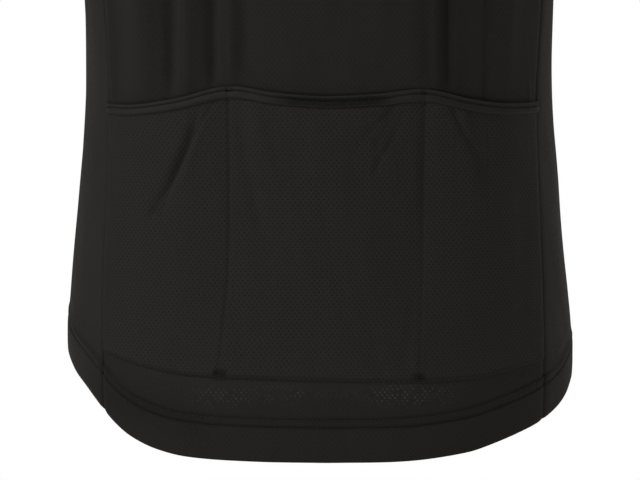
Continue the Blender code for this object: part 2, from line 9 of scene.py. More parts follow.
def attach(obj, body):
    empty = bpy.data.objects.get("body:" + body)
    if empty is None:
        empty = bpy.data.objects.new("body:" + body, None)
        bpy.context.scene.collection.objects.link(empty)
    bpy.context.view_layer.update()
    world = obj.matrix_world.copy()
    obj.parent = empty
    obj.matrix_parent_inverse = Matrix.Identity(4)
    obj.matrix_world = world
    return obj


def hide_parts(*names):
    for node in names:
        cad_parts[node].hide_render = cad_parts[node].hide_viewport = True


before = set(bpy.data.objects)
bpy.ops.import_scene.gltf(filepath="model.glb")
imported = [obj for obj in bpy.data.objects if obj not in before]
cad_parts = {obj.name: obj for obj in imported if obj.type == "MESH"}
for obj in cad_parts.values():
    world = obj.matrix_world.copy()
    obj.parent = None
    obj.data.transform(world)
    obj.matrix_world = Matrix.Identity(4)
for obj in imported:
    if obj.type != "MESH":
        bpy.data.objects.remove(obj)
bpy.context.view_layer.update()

# A place on the body is an angle and a height in metres: 0 degrees at the zip, 90 at the wearer's
# left side, 180 at the middle of the back. +Z is up, the zip faces -Y and the neck is at the origin.

body = {
    # height, half width, depth in front, depth behind, squareness
    "sections": [
        (-0.700, 0.1885, 0.124, 0.1245, 2.40),
        (-0.640, 0.1865, 0.123, 0.1200, 2.40),
        (-0.585, 0.1825, 0.120, 0.1155, 2.40),
        (-0.510, 0.1755, 0.115, 0.1115, 2.40),
        (-0.430, 0.1700, 0.112, 0.1100, 2.45),
        (-0.340, 0.1715, 0.116, 0.1100, 2.50),
        (-0.260, 0.1770, 0.120, 0.1105, 2.50),
        (-0.190, 0.1860, 0.116, 0.1090, 2.50),
        (-0.130, 0.1980, 0.101, 0.1030, 2.45),
        (-0.085, 0.1930, 0.086, 0.0940, 2.35),
        (-0.055, 0.1700, 0.074, 0.0840, 2.25),
        (-0.030, 0.1240, 0.063, 0.0710, 2.15),
        (-0.012, 0.0800, 0.055, 0.0590, 2.05),
        (0.000, 0.0520, 0.048, 0.0500, 2.00),
    ],
    # angle, height of the hem on the left, on the right
    "hem": [
        (0, -0.6400, -0.6400), (40, -0.6310, -0.6340), (65, -0.6220, -0.6310), (90, -0.6180, -0.6345),
        (100, -0.6275, -0.6430), (105, -0.6350, -0.6500), (110, -0.6435, -0.6580), (114, -0.6525, -0.6635),
        (119, -0.6650, -0.6692), (124, -0.6750, -0.6740), (130, -0.6823, -0.6795), (138, -0.6872, -0.6855),
        (154, -0.6898, -0.6903), (180, -0.6910, -0.6910),
    ],
    # height, distance of the side panel's back seam and front seam from the middle
    "sideSeams": [
        (-0.690, 0.158, 0.155),
        (-0.580, 0.157, 0.153),
        (-0.437, 0.153, 0.149),
        (-0.377, 0.157, 0.151),
        (-0.260, 0.165, 0.160),
        (-0.160, 0.173, 0.171),
    ],
    "neckHalfWidth": 0.064, "neckFront": 0.072, "neckBack": 0.057,
    "armholeCentre": -0.125, "armholeHalf": 0.067, "armholeFront": 27.0, "armholeBack": 25.0,
    "sideTurn": 130.0, "zipKnee": -0.175, "sideHem": -0.640,
    # angle and height of the upper end, of the lower end, half width in degrees, how far out
    "folds": [
        (121, -0.190, 121.6, -0.450, 5.0, 0.0020),
        (131, -0.150, 129.3, -0.440, 5.0, -0.0030),
        (141, -0.210, 140.6, -0.430, 4.5, -0.0025),
        (226, -0.150, 219, -0.440, 5.5, -0.0030),
        (240, -0.190, 237, -0.450, 5.0, 0.0020),
        (38, -0.200, 47, -0.520, 7.0, -0.0030),
        (324, -0.170, 314, -0.480, 7.0, -0.0030),
        (24, -0.330, 28, -0.600, 5.0, 0.0020),
    ],
}
cloth = {
    "wall": 0.0010, "seamGap": 0.00012, "seamSink": 0.0010, "seamSinkWidth": 0.0026,
    "seamUnder": 0.0008, "seamDrop": 0.0006,  # how far a tucked edge reaches under its neighbour, how deep
    "tuckFrom": 126,  # the first row where a front's outer edge is tucked under
    "armholeRows": 36, "shoulderRows": 18, "backThird": 84, "frontColumns": 72, "sideColumns": 44,
}


def mix(first, second, share):
    return first + (second - first) * share


def smoothStep(share):
    share = np.clip(share, 0.0, 1.0)
    return share * share * (3 - 2 * share)


def bell(distance, width):
    return np.exp(-((distance / width) ** 2))


def smoothRead(table, keys):  # the other columns at any key, on a smooth curve through the rows
    rows = np.array(table, float)
    x, y = rows[:, 0], rows[:, 1:]
    keys = np.clip(np.asarray(keys, float), x[0], x[-1])
    at = np.clip(np.searchsorted(x, keys, side="right") - 1, 0, len(x) - 2)
    before, after = np.maximum(at - 1, 0), np.minimum(at + 2, len(x) - 1)
    span = (x[at + 1] - x[at])[..., None]
    t = (keys - x[at])[..., None] / span
    rise = (y[at + 1] - y[before]) / (x[at + 1] - x[before])[..., None] * span
    nextRise = (y[after] - y[at]) / (x[after] - x[at])[..., None] * span
    value = (2 * t**3 - 3 * t**2 + 1) * y[at] + (t**3 - 2 * t**2 + t) * rise
    return value + (3 * t**2 - 2 * t**3) * y[at + 1] + (t**3 - t**2) * nextRise


def plainPoint(angle, height):
    angle, height = np.broadcast_arrays(np.asarray(angle, float), np.asarray(height, float))
    section = smoothRead(body["sections"], height)
    sine, cosine = np.sin(np.radians(angle)), np.cos(np.radians(angle))
    depth = np.where(cosine > 0, section[..., 1], section[..., 2])
    power = section[..., 3]
    radius = ((np.abs(sine) / section[..., 0]) ** power + (np.abs(cosine) / depth) ** power) ** (-1 / power)
    return np.stack([radius * sine, -radius * cosine, height], -1)


def bodyNormal(angle, height):
    around = plainPoint(angle + 0.5, height) - plainPoint(angle - 0.5, height)
    upward = plainPoint(angle, height + 0.0008) - plainPoint(angle, height - 0.0008)
    normal = np.cross(around, upward)
    return normal / np.linalg.norm(normal, axis=-1, keepdims=True)


def foldDepth(angle, height):
    depth = np.zeros(np.shape(angle))
    for topAngle, top, bottomAngle, bottom, half, out in body["folds"]:
        along = (top - height) / (top - bottom)
        away = np.abs(angle % 360 - mix(topAngle, bottomAngle, along)) / half
        inside = (along > 0) & (along < 1) & (away < 1)
        depth += np.where(inside, out * np.cos(away * np.pi / 2) ** 2 * np.sin(along * np.pi), 0)
    return depth


def bodyPoint(angle, height, out=0.0):
    depth = foldDepth(angle, height) + creaseDepth(angle, height) + out
    return plainPoint(angle, height) + bodyNormal(angle, height) * np.asarray(depth)[..., None]


def angleOfX(x, height, behind):
    section = smoothRead(body["sections"], height)
    share = np.minimum(np.abs(x) / section[..., 0], 1.0)
    depth = section[..., 2] if behind else section[..., 1]
    y = depth * (1 - share ** section[..., 3]) ** (1 / section[..., 3])
    return np.degrees(np.arctan2(x, -y if behind else y)) % 360


def hemHeight(angle):
    angle = np.asarray(angle, float) % 360
    level = smoothRead(body["hem"], np.minimum(angle, 360 - angle))
    return np.where(angle <= 180, level[..., 0], level[..., 1])


def neckHeight(angle):  # where the body is as far out as the neck's oval
    angle = np.asarray(angle, float)
    sine, cosine = np.sin(np.radians(angle)), np.cos(np.radians(angle))
    depth = np.where(cosine > 0, body["neckFront"], body["neckBack"])
    radius = 1 / np.hypot(sine / body["neckHalfWidth"], cosine / depth)
    low, high = np.full(angle.shape, -0.080), np.zeros(angle.shape)
    for _ in range(24):
        middle = (low + high) / 2
        point = plainPoint(angle, middle)
        outside = np.hypot(point[..., 0], point[..., 1]) > radius
        low, high = np.where(outside, middle, low), np.where(outside, high, middle)
    return high


# Creases: fine folds that the solids are too coarse for.

creases = {
    # angle and height of both ends, bow to the side in mm, half width in mm, mm out, pointedness, where
    # 1 is a soft swell and 2 a sharp ridge, and the half width on the far side if it differs
    "rows": [
        # upper back, left
        (121.0, -0.270, 121.6, -0.441, 0, 11.0, 2.0, 1.0, 10.0),
        (109.0, -0.300, 110.0, -0.441, 0, 5.0, -1.2, 1.0),
        (131.6, -0.230, 131.2, -0.440, 1, 9.0, -2.6, 1.0, 3.4),
        (135.6, -0.250, 135.4, -0.437, -1, 3.0, 2.8, 1.2, 13.0),
        (143.0, -0.240, 142.6, -0.434, 0, 7.0, -2.4, 1.0, 3.2),
        (147.2, -0.270, 147.6, -0.431, 0, 2.8, 2.4, 1.2, 10.0),
        (151.5, -0.250, 151.0, -0.425, 2, 5.0, -0.7, 1.0),
        (113.8, -0.425, 114.3, -0.446, 0, 2.5, 0.9, 1.5),
        # upper back, right
        (216.4, -0.250, 217.0, -0.434, -1, 7.0, 2.0, 1.0, 3.2),
        (220.6, -0.250, 221.0, -0.434, 0, 3.2, -2.4, 1.2, 7.0),
        (231.0, -0.240, 230.2, -0.520, 1, 1.6, -1.0, 1.5),
        (244.8, -0.418, 245.6, -0.446, 0, 2.6, 1.0, 1.5),
        (238.0, -0.300, 238.0, -0.434, 0, 7.0, 0.7, 1.0),
        # upper back, out of the way of the pockets
        (160.0, -0.100, 172.0, -0.290, 9, 11.0, 0.8, 1.0),
        (203.0, -0.110, 192.0, -0.310, -8, 10.0, 0.8, 1.0),
        (118.0, -0.150, 142.0, -0.215, 5, 9.0, -1.3, 1.0),
        (242.0, -0.155, 217.0, -0.225, -6, 9.0, -1.2, 1.0),
        (117.0, -0.175, 133.0, -0.265, 6, 6.5, 1.1, 1.2),
        (244.0, -0.178, 228.0, -0.262, -5, 6.0, 1.0, 1.2),
        # fronts
        (62.0, -0.150, 30.0, -0.230, 7, 10.0, -1.6, 1.0),
        (298.0, -0.155, 329.0, -0.225, -7, 9.0, -1.5, 1.0),
        (64.0, -0.172, 44.0, -0.290, 8, 7.0, 1.3, 1.2),
        (296.0, -0.176, 317.0, -0.275, -8, 7.0, 1.2, 1.2),
        (8.0, -0.330, 20.0, -0.420, -4, 8.0, 0.9, 1.0),
        (352.5, -0.290, 338.0, -0.405, 5, 8.0, 0.9, 1.0),
        (9.0, -0.520, 16.0, -0.615, -3, 6.0, 0.9, 1.1),
        (350.0, -0.500, 346.0, -0.610, 3, 6.5, 0.8, 1.1),
        (52.0, -0.380, 56.0, -0.585, 4, 8.0, -1.0, 1.0),
        (307.0, -0.350, 303.0, -0.570, -4, 8.0, -1.0, 1.0),
        # side panels
        (86.0, -0.215, 97.0, -0.330, 4, 9.0, -1.0, 1.0),
        (275.0, -0.215, 262.0, -0.345, -4, 9.0, -1.0, 1.0),
        (80.0, -0.400, 84.0, -0.560, 3, 8.0, 0.5, 1.0),
        (281.0, -0.380, 277.0, -0.540, -3, 8.0, 0.5, 1.0),
    ],
    "ripple": 0.00018,
    # the share by which painted shade darkens the cloth along each fold, where the others have mm out
    "shade": [
        (112.9, -0.270, 113.4, -0.448, 0, 7.0, 0.28, 1.0),
        (125.0, -0.240, 125.4, -0.446, 1, 6.0, 0.30, 1.0),
        (128.9, -0.240, 129.3, -0.446, 1, 7.0, 0.48, 1.0, 4.5),
        (136.0, -0.250, 136.0, -0.442, 0, 8.0, 0.34, 1.0),
        (141.6, -0.250, 141.6, -0.438, 0, 5.0, 0.50, 1.0, 4.5),
        (147.8, -0.250, 147.5, -0.432, 0, 8.0, 0.28, 1.0),
        (213.6, -0.250, 213.6, -0.434, 0, 6.5, 0.40, 1.0),
        (219.2, -0.250, 219.6, -0.440, 0, 5.5, 0.46, 1.0),
        (223.4, -0.260, 223.8, -0.444, 0, 7.0, 0.28, 1.0),
        (231.2, -0.260, 231.0, -0.446, 0, 4.5, 0.18, 1.0),
        (152.0, -0.676, 106.0, -0.636, 0, 15.0, 0.20, 1.0),
    ],
}


def perDegree(angle, height):
    return float(np.linalg.norm(plainPoint(angle + 0.5, height) - plainPoint(angle, height)) * 2)


def strokeDepth(angle, height, rows, degree=None):  # the height of a few strokes drawn on the cloth
    total = np.zeros(np.broadcast(angle, height).shape)
    for angleA, heightA, angleB, heightB, bow, half, out, point, *other in rows:
        metres = degree or perDegree((angleA + angleB) / 2, (heightA + heightB) / 2)
        spanU, spanV = (angleB - angleA) * metres, heightB - heightA
        length = math.hypot(spanU, spanV)
        u, v = (angle - angleA) * metres, height - heightA
        along = (u * spanU + v * spanV) / length**2
        off = (v * spanU - u * spanV) / length - bow * 0.001 * 4 * along * (1 - along)
        away = np.abs(off) / np.where(off > 0, other[0] if other else half, half) * 1000
        profile = np.exp(-(away ** (2 / point)) * 1.4)
        taper = smoothStep(along / 0.30) * smoothStep((1 - along) / 0.10)
        total += out * 0.001 * profile * taper
    return total


def ripple(angle, height):
    wave = np.sin(angle * 0.31 + height * 61) + np.sin(angle * 0.23 - height * 44 + 1.7)
    wave += 0.6 * np.sin(angle * 0.73 + height * 29 + 1.6 * np.sin(height * 47 + angle * 0.11))
    return creases["ripple"] * wave


def creaseDepth(angle, height):
    return strokeDepth(angle % 360, height, creases["rows"]) + ripple(angle % 360, height)


# Edges that panels share: (angle, height) row by row, from the hem up. A row's place counts in the
# cut's own steps: 15 up the seam, 6 round the armhole and 3 along the shoulder.

seamEnd, armholeEnd, shoulderEnd = 15, 21, 24
rowPlaces = np.concatenate([
    np.arange(0, 0.96, 0.024),  # close together in the hem
    np.arange(1, seamEnd, 1 / 7),
    np.linspace(seamEnd, armholeEnd, cloth["armholeRows"] + 1),
    np.linspace(armholeEnd, shoulderEnd, cloth["shoulderRows"] + 1)[1:],
])
armholeTop = len(rowPlaces) - cloth["shoulderRows"] - 1
seamTop = armholeTop - cloth["armholeRows"]


def onSide(side, angle):
    return angle if side > 0 else 360 - angle


def armholePlace(side, turn):  # from the armhole's top towards the back, or the front where negative
    sine = np.sin(np.radians(turn))
    reach = np.where(sine > 0, body["armholeBack"], body["armholeFront"])
    height = body["armholeCentre"] + body["armholeHalf"] * np.cos(np.radians(turn))
    return np.stack([onSide(side, 90 + reach * sine), height], -1)


def seamX(side, height, behind):
    return side * smoothRead(body["sideSeams"], height)[..., 0 if behind else 1]


def seamEdge(side, behind):
    top = armholePlace(side, body["sideTurn"] if behind else -body["sideTurn"])
    x = side * body["sideSeams"][0][1 if behind else 2]
    hemLevel = hemHeight(angleOfX(x, body["sideHem"], behind))
    height = mix(hemLevel, top[1], rowPlaces[:seamTop] / seamEnd)
    return np.vstack([np.stack([angleOfX(seamX(side, height, behind), height, behind), height], -1), top])


def outerEdge(side, behind):
    turn = body["sideTurn"] if behind else -body["sideTurn"]
    stepsLeft = armholeEnd - rowPlaces[seamTop + 1:armholeTop + 1]
    armhole = armholePlace(side, turn * stepsLeft / (armholeEnd - seamEnd))
    share = (rowPlaces[armholeTop + 1:] - armholeEnd) / (shoulderEnd - armholeEnd)
    shoulder = mix(armhole[-1, 1], neckHeight(90), share)
    shoulder = np.stack([np.full(shoulder.shape, float(onSide(side, 90))), shoulder], -1)
    return np.vstack([seamEdge(side, behind), armhole, shoulder])


def zipEdge(side, x):
    bottom, knee = hemHeight(0), body["zipKnee"]
    lower = mix(bottom, knee, rowPlaces / seamEnd)
    upper = mix(knee, neckHeight(0), (rowPlaces - seamEnd) / (shoulderEnd - seamEnd))
    height = np.where(rowPlaces < seamEnd, lower, upper)
    return np.stack([angleOfX(side * x, height, False), height], -1)


def insetEdge(edge, distance):
    point = plainPoint(edge[:, 0], edge[:, 1])
    moved = edge.copy()
    moved[:, 0] += np.degrees(distance / np.hypot(point[:, 0], point[:, 1]))
    return moved


def panelPlaces(left, right, lower, upper, shares):  # the (angle, height) of every point between four edges
    up = (rowPlaces[:len(left)] / rowPlaces[len(left) - 1])[:, None, None]
    share = shares(left[:, 1])
    flat = share[..., None]
    places = mix(left[:, None], right[:, None], flat)
    places = places + (1 - up) * (lower(share) - mix(left[0], right[0], flat))
    return places + up * (upper(share) - mix(left[-1], right[-1], flat))


def hemLine(left, right):
    def at(share):
        angle = mix(left[0, 0], right[0, 0], share)
        return np.stack([angle, hemHeight(angle)], -1)
    return at


def neckLine(left, right):
    angles = np.linspace(0, 360, 721)
    levels = neckHeight(angles)

    def at(share):
        angle = mix(left[-1, 0], right[-1, 0], share)
        return np.stack([angle, np.interp(angle % 360, angles, levels)], -1)
    return at


def evenShares(columns):
    return lambda heights: np.tile(np.linspace(0, 1, columns + 1), (len(heights), 1))


def divisionShare(heights):
    at = np.clip(heights, pocket["divisions"][0][0], pocket["divisions"][-1][0])
    low, high = (angleOfX(seamX(side, at, True), at, True) for side in (1, -1))
    seams = np.moveaxis(smoothRead(pocket["divisions"], at), -1, 0)
    return [(angleOfX(x, at, True) - low) / (high - low) for x in seams]


def backShare(heights, steps):  # steps: 0 and 3 at the side seams, 1 and 2 at the seams between pockets
    first, second = divisionShare(heights)
    low = np.where(steps < 1, 0, np.where(steps < 2, first, second))
    high = np.where(steps < 1, first, np.where(steps < 2, second, 1))
    return mix(low, high, steps - np.clip(np.floor(steps), 0, 2))


def backPlaces(columns):
    left = insetEdge(outerEdge(1, True), cloth["seamGap"] / 2)
    right = insetEdge(outerEdge(-1, True), -cloth["seamGap"] / 2)
    steps = np.linspace(0, 3, columns + 1)[None]

    def shares(heights):
        return backShare(heights[:, None], steps)

    return panelPlaces(left, right, hemLine(left, right), neckLine(left, right), shares)


def tuckedRows(rows):
    return np.arange(rows) >= cloth["tuckFrom"]


def frontPlaces(side, columns):
    middle = zipEdge(side, zipper["edge"])
    outer = outerEdge(side, False)
    under = np.where(tuckedRows(len(outer)), cloth["seamUnder"], -cloth["seamGap"] / 2)
    outer = insetEdge(outer, side * under)
    left, right = (middle, outer) if side > 0 else (outer, middle)
    return panelPlaces(left, right, hemLine(left, right), neckLine(left, right), evenShares(columns))


def sidePlaces(side, columns):
    front = insetEdge(seamEdge(side, False), -side * cloth["seamUnder"])
    back = insetEdge(seamEdge(side, True), side * cloth["seamUnder"])
    left, right = (front, back) if side > 0 else (back, front)
    turn = body["sideTurn"]

    def armholeLine(share):
        place = armholePlace(side, mix(turn, 360 - turn, 1 - share if side > 0 else share))
        place = np.where(share[..., None] == 0, left[-1], place)
        return np.where(share[..., None] == 1, right[-1], place)

    return panelPlaces(left, right, hemLine(left, right), armholeLine, evenShares(columns))


# Cloth made from a grid of points.


def spans(points, axis):  # length along the rows or columns, up to each point
    steps = np.linalg.norm(np.diff(points, axis=axis), axis=-1)
    start = np.zeros_like(steps.sum(axis, keepdims=True))
    return np.concatenate([start, np.cumsum(steps, axis)], axis)


def gridNormals(points):
    normal = np.cross(np.gradient(points, axis=1), np.gradient(points, axis=0))
    return normal / np.maximum(np.linalg.norm(normal, axis=-1, keepdims=True), 1e-12)


def edgeSink(points, sides=True):  # edges turn in where they are sewn: the sides, or else the first row
    across = spans(points, 1)
    away = [across, across[:, -1:] - across] if sides else [spans(points, 0)]
    return -cloth["seamSink"] * sum(bell(distance, cloth["seamSinkWidth"]) for distance in away)


hem = {
    "rows": (0.0243, 0.0306), "groove": 0.00115, "grooveWidth": 0.0010, "thick": 0.00070,
    "edge": 0.0005, "edgeWidth": 0.0012, "curl": 0.0020, "curlHeight": 0.030, "step": 0.0025,
}
# strengths and widths of painted shade on the hem's stitch rows, between them, over the lower strip, along
# the seams and on the pockets
paintedShading = {
    "row": 0.36, "rowWidth": 0.0009, "betweenRows": 0.12, "strip": 0.16, "stripTop": 0.054,
    "stripBlend": 0.012, "seam": 0.30, "seamWidth": 0.0014, "darkest": 0.85,
    "pocketSeam": 0.30, "pocketSeamWidth": 0.0007, "pocketSide": 0.25,
    "pocketBottom": 0.5, "bottomWidth": 0.0006,
}


def hemDepth(above):  # a turned-up hem held by two rows of stitches
    rows = sum(bell(above - row, hem["grooveWidth"]) for row in hem["rows"])
    thick = hem["thick"] * (1 - smoothStep((above - hem["rows"][1]) / hem["step"]))
    curl = hem["curl"] * np.clip(1 - above / hem["curlHeight"], 0, 1) ** 2
    return thick - hem["groove"] * rows - hem["edge"] * bell(above, hem["edgeWidth"]) - curl


def seamShade(points):  # 1 on the seams at both sides of a panel
    across = spans(points, 1)
    nearest = np.minimum(across, across[:, -1:] - across)
    return bell(nearest, paintedShading["seamWidth"])


def paintedClothShade(angle, height, points):  # painted shade: darker folds, seams, hem rows and lower strip
    above = height - hemHeight(angle)
    rows = sum(bell(above - row, paintedShading["rowWidth"]) for row in hem["rows"])
    between = smoothStep((above - hem["rows"][0]) / 0.001) * smoothStep((hem["rows"][1] - above) / 0.001)
    strip = paintedShading["strip"] * smoothStep((paintedShading["stripTop"] - above) / paintedShading["stripBlend"])
    shade = strokeDepth(angle, height, creases["shade"]) * 1000 + paintedShading["row"] * rows
    shade = shade + paintedShading["betweenRows"] * between + strip
    return np.clip(shade + paintedShading["seam"] * seamShade(points), 0, paintedShading["darkest"])


def newMesh(name, shape):
    mesh = bpy.data.meshes.new(name)
    shape.to_mesh(mesh)
    shape.free()
    return mesh


def addObject(name, data):
    thing = bpy.data.objects.new(name, data)
    bpy.context.scene.collection.objects.link(thing)
    return thing


def addSheet(name, points, middle=0, wall=cloth["wall"], closed=False):  # and each vertex's row and column
    rows, columns = points.shape[:2]
    shape = bmesh.new()
    bmesh.ops.create_grid(shape, x_segments=columns - 1, y_segments=rows - 1, size=1)
    mesh = newMesh(name, shape)
    flat = np.zeros(len(mesh.vertices) * 3)
    mesh.vertices.foreach_get("co", flat)
    column = np.rint((flat[0::3] + 1) / 2 * (columns - 1)).astype(int)
    row = np.rint((flat[1::3] + 1) / 2 * (rows - 1)).astype(int)
    mesh.vertices.foreach_set("co", points[row, column].ravel())
    across, along = spans(points, 1), spans(points, 0)
    across = across - across[:, middle:middle + 1]
    along = along + points[0, :, 2]
    corner = np.zeros(len(mesh.loops), int)
    mesh.loops.foreach_get("vertex_index", corner)
    uv = np.stack([across[row, column], along[row, column]], -1)[corner]
    mesh.uv_layers.new(name="cloth").data.foreach_set("uv", uv.astype(np.float32).ravel())
    if closed:
        shape = bmesh.new()
        shape.from_mesh(mesh)
        bmesh.ops.remove_doubles(shape, verts=shape.verts, dist=1e-6)
        shape.to_mesh(mesh)
        shape.free()
    mesh.shade_smooth()
    piece = addObject(name, mesh)
    shell = piece.modifiers.new("wall", "SOLIDIFY")
    shell.thickness = wall
    shell.offset = -1
    return piece, (row, column)


def addMask(piece, name, values, cells):
    mask = piece.data.attributes.new(name, "FLOAT", "POINT")
    mask.data.foreach_set("value", values[cells].astype(np.float32))


def dress(piece, node, material):
    piece.data.materials.append(material)
    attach(piece, "garment")
    if node:
        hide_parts(node)
    return piece


# Back pockets.

pocket = {
    # height, where the left and the right seam between pockets are
    "divisions": [
        (-0.630, 0.0775, -0.0650),
        (-0.597, 0.0735, -0.0660),
        (-0.545, 0.0690, -0.0675),
        (-0.429, 0.0690, -0.0690),
    ],
    "top": [
        (-0.160, -0.4395), (-0.126, -0.4408), (-0.100, -0.4372), (-0.069, -0.4303),
        (-0.035, -0.4335), (0.003, -0.4350), (0.036, -0.4325), (0.069, -0.4280),
        (0.105, -0.4370), (0.136, -0.4415), (0.160, -0.4400),
    ],
    "bottom": [
        (-0.157, -0.6232), (-0.131, -0.6288), (-0.109, -0.6330), (-0.070, -0.6352), (0.000, -0.6338),
        (0.047, -0.6324), (0.100, -0.6302), (0.121, -0.6268), (0.141, -0.6220), (0.157, -0.6165),
    ],
    "lowest": -0.6355, "highest": -0.4350, "depth": 0.2005,
    "step": 0.135, "stitchStep": 0.125,  # metres for one step across, in the relief and in the stitches
    "lift": 0.0036, "fullFrom": 0.55, "gap": 0.00022,
    "sag": 0.0022, "sagDown": 0.0062, "sagHalf": 0.0036,  # the middle mouth falls in below its edge
    "sink": 0.00024, "sinkWidth": 0.0010, "swell": 0.00012, "swellAway": 0.0030, "swellWidth": 0.0016,
    "pucker": 0.00016, "puckerWidth": 0.006, "bottomRow": 0.0016,
    "creases": [
        (139.6, -0.436, 125.0, -0.526, 4, 2.6, -1.7, 1.3),
        (136.6, -0.440, 129.8, -0.492, 2, 4.0, 1.0, 1.2),
        (145.0, -0.431, 128.6, -0.524, -5, 2.4, -1.5, 1.3),
        (142.6, -0.440, 135.0, -0.496, -2, 3.4, 0.9, 1.2),
        (150.1, -0.436, 158.2, -0.532, -3, 5.5, -1.2, 1.0),
        (154.5, -0.438, 164.0, -0.505, -2, 5.0, 0.8, 1.0),
        (205.6, -0.437, 190.5, -0.468, 1, 2.6, -1.0, 1.2),
        (208.6, -0.442, 195.8, -0.492, -1, 2.6, -1.4, 1.2),
        (207.4, -0.446, 198.5, -0.474, 0, 3.0, 0.9, 1.2),
        (220.2, -0.436, 228.0, -0.476, -1, 2.6, -1.4, 1.3),
        (223.5, -0.438, 231.0, -0.482, -1, 3.5, 0.8, 1.0),
        (231.0, -0.440, 230.2, -0.522, 0, 2.0, -0.9, 1.5),
        (147.5, -0.560, 154.0, -0.628, 2, 6.0, -0.6, 1.0),
        (211.5, -0.560, 205.0, -0.630, -2, 6.0, -0.6, 1.0),
        (118.0, -0.470, 121.0, -0.600, 3, 9.0, -0.6, 1.0),
        (240.0, -0.480, 238.0, -0.600, 3, 8.0, -0.6, 1.0),
    ],
    # painted shade along some pocket creases: as the rows above, but with the share by which the cloth is
    # darkened where they have mm out
    "shade": [
        (204.8, -0.430, 196.0, -0.474, 0, 4.0, 0.22, 1.0),
        (224.0, -0.428, 229.0, -0.500, 0, 4.5, 0.22, 1.0),
        (212.4, -0.430, 210.5, -0.530, 0, 3.0, 0.14, 1.0),
        (136.0, -0.440, 126.0, -0.520, 3, 3.5, 0.12, 1.0),
    ],
}


def pocketPlace(steps, up):
    steps, up = np.broadcast_arrays(np.asarray(steps, float), np.asarray(up, float))
    height = mix(pocket["lowest"], pocket["highest"], up)
    for _ in range(4):
        low, high = (angleOfX(seamX(side, height, True), height, True) for side in (1, -1))
        angle = mix(low, high, backShare(height, steps))
        top = smoothRead(pocket["top"], plainPoint(angle, -0.43)[..., 0])[..., 0]
        bottom = smoothRead(pocket["bottom"], plainPoint(angle, -0.63)[..., 0])[..., 0]
        height = mix(bottom, top, up)
    return angle, height, (1 - up) * (top - bottom)


def fromSeam(steps):  # steps to the nearer seam between pockets
    return np.minimum(np.abs(steps - 1), np.abs(steps - 2))


def pocketPoint(steps, up, out=0.0):  # on the pockets' outer face; steps 0 to 3 as on the back
    angle, height, down = pocketPlace(steps, up)
    across = np.abs(np.sin(steps * np.pi)) ** 0.8
    lift = pocket["lift"] * across * smoothStep(up / pocket["fullFrom"])
    middle = smoothStep(1.45 - 2.9 * np.abs(steps - 1.5))
    sag = pocket["sag"] * middle * bell(down - pocket["sagDown"], pocket["sagHalf"])
    seam = fromSeam(steps) * pocket["step"]
    swell = pocket["swell"] * bell(seam - pocket["swellAway"], pocket["swellWidth"])
    sink = pocket["sink"] * bell(seam, pocket["sinkWidth"]) - swell
    wave = np.sin(height * 700 + 2 * np.sin(height * 161))
    pucker = pocket["pucker"] * wave * bell(seam, pocket["puckerWidth"])
    depth = foldDepth(angle, height) + ripple(angle, height) + strokeDepth(angle, height, pocket["creases"])
    depth = depth + pocket["gap"] + cloth["wall"] + lift - sag - sink + pucker + out
    return plainPoint(angle, height) + bodyNormal(angle, height) * depth[..., None]


binding = {
    # over the mouth's edge from outside to inside: mm down from the edge, mm out from the pockets
    "profile": [
        (7.8, -0.10), (7.7, 0.65), (7.1, 1.35), (6.1, 1.68), (4.9, 1.72), (3.9, 1.45), (3.2, 0.90),
        (2.8, 0.40), (2.55, 0.25), (2.3, 0.42), (1.9, 0.95), (1.2, 1.32), (0.5, 1.30), (-0.1, 0.90),
        (-0.5, 0.25),
        (-0.55, -0.35), (-0.2, -0.85), (0.6, -1.08), (2.0, -1.10), (3.8, -1.10),
    ],
    "wall": 0.0005, "stitchDown": 2.55, "stitchOut": 0.42, "stitchRow": 8, "outerRows": 13,
    # strengths of painted shade across the middle pocket's open mouth and towards the right
    "paintedShadeMiddle": 0.80, "paintedShadeRight": 0.22,
}


def bindingPoint(steps, down, out):
    return pocketPoint(steps, 1 - down * 0.001 / pocket["depth"], out * 0.001)


# Sleeves.

sleeve = {
    # ring, its highest point x and z, its lowest point x and z, half depth, how far it has become an oval
    "rings": [
        (0, 0.1720, -0.0580, 0.1860, -0.1920, 0.0770, 0.00),
        (1, 0.1870, -0.0640, 0.1905, -0.1990, 0.0765, 0.45),
        (2, 0.2140, -0.0810, 0.2030, -0.2160, 0.0740, 0.80),
        (3, 0.2470, -0.1100, 0.2180, -0.2380, 0.0700, 1.00),
        (4, 0.2770, -0.1460, 0.2320, -0.2590, 0.0650, 1.00),
        (5, 0.3060, -0.1850, 0.2450, -0.2790, 0.0600, 1.00),
        (6, 0.3360, -0.2270, 0.2580, -0.2980, 0.0550, 1.00),
    ],
    "rows": 110, "gap": 0.00018, "degree": 0.00115, "ripple": 0.0002,
    # degrees from the top over the front and m from the cuff at both ends, then as on the body
    "creases": [
        (60, 0.150, 118, 0.070, 5, 7.0, -1.3, 1.0),
        (78, 0.160, 135, 0.095, 4, 5.0, 0.9, 1.2),
        (110, 0.128, 160, 0.080, 4, 5.5, -1.1, 1.1),
        (128, 0.090, 180, 0.040, 3, 6.0, 0.8, 1.0),
        (300, 0.155, 243, 0.078, -5, 7.0, -1.2, 1.0),
        (284, 0.160, 228, 0.100, -4, 5.0, 0.9, 1.2),
        (252, 0.125, 205, 0.085, -4, 5.0, -1.0, 1.1),
        (20, 0.150, 42, 0.055, 5, 9.0, -0.8, 1.0),
        (338, 0.140, 322, 0.050, -5, 9.0, -0.7, 1.0),
        (355, 0.100, 12, 0.030, 3, 8.0, 0.5, 1.0),
    ],
}


def armholeLoop(side):
    front, back = outerEdge(side, False), outerEdge(side, True)
    under = sidePlaces(side, cloth["sideColumns"])[-1, 1:-1]
    loop = np.vstack([front[armholeTop:seamTop - 1:-1], under[::side], back[seamTop:armholeTop]])
    return bodyPoint(loop[:, 0], loop[:, 1])


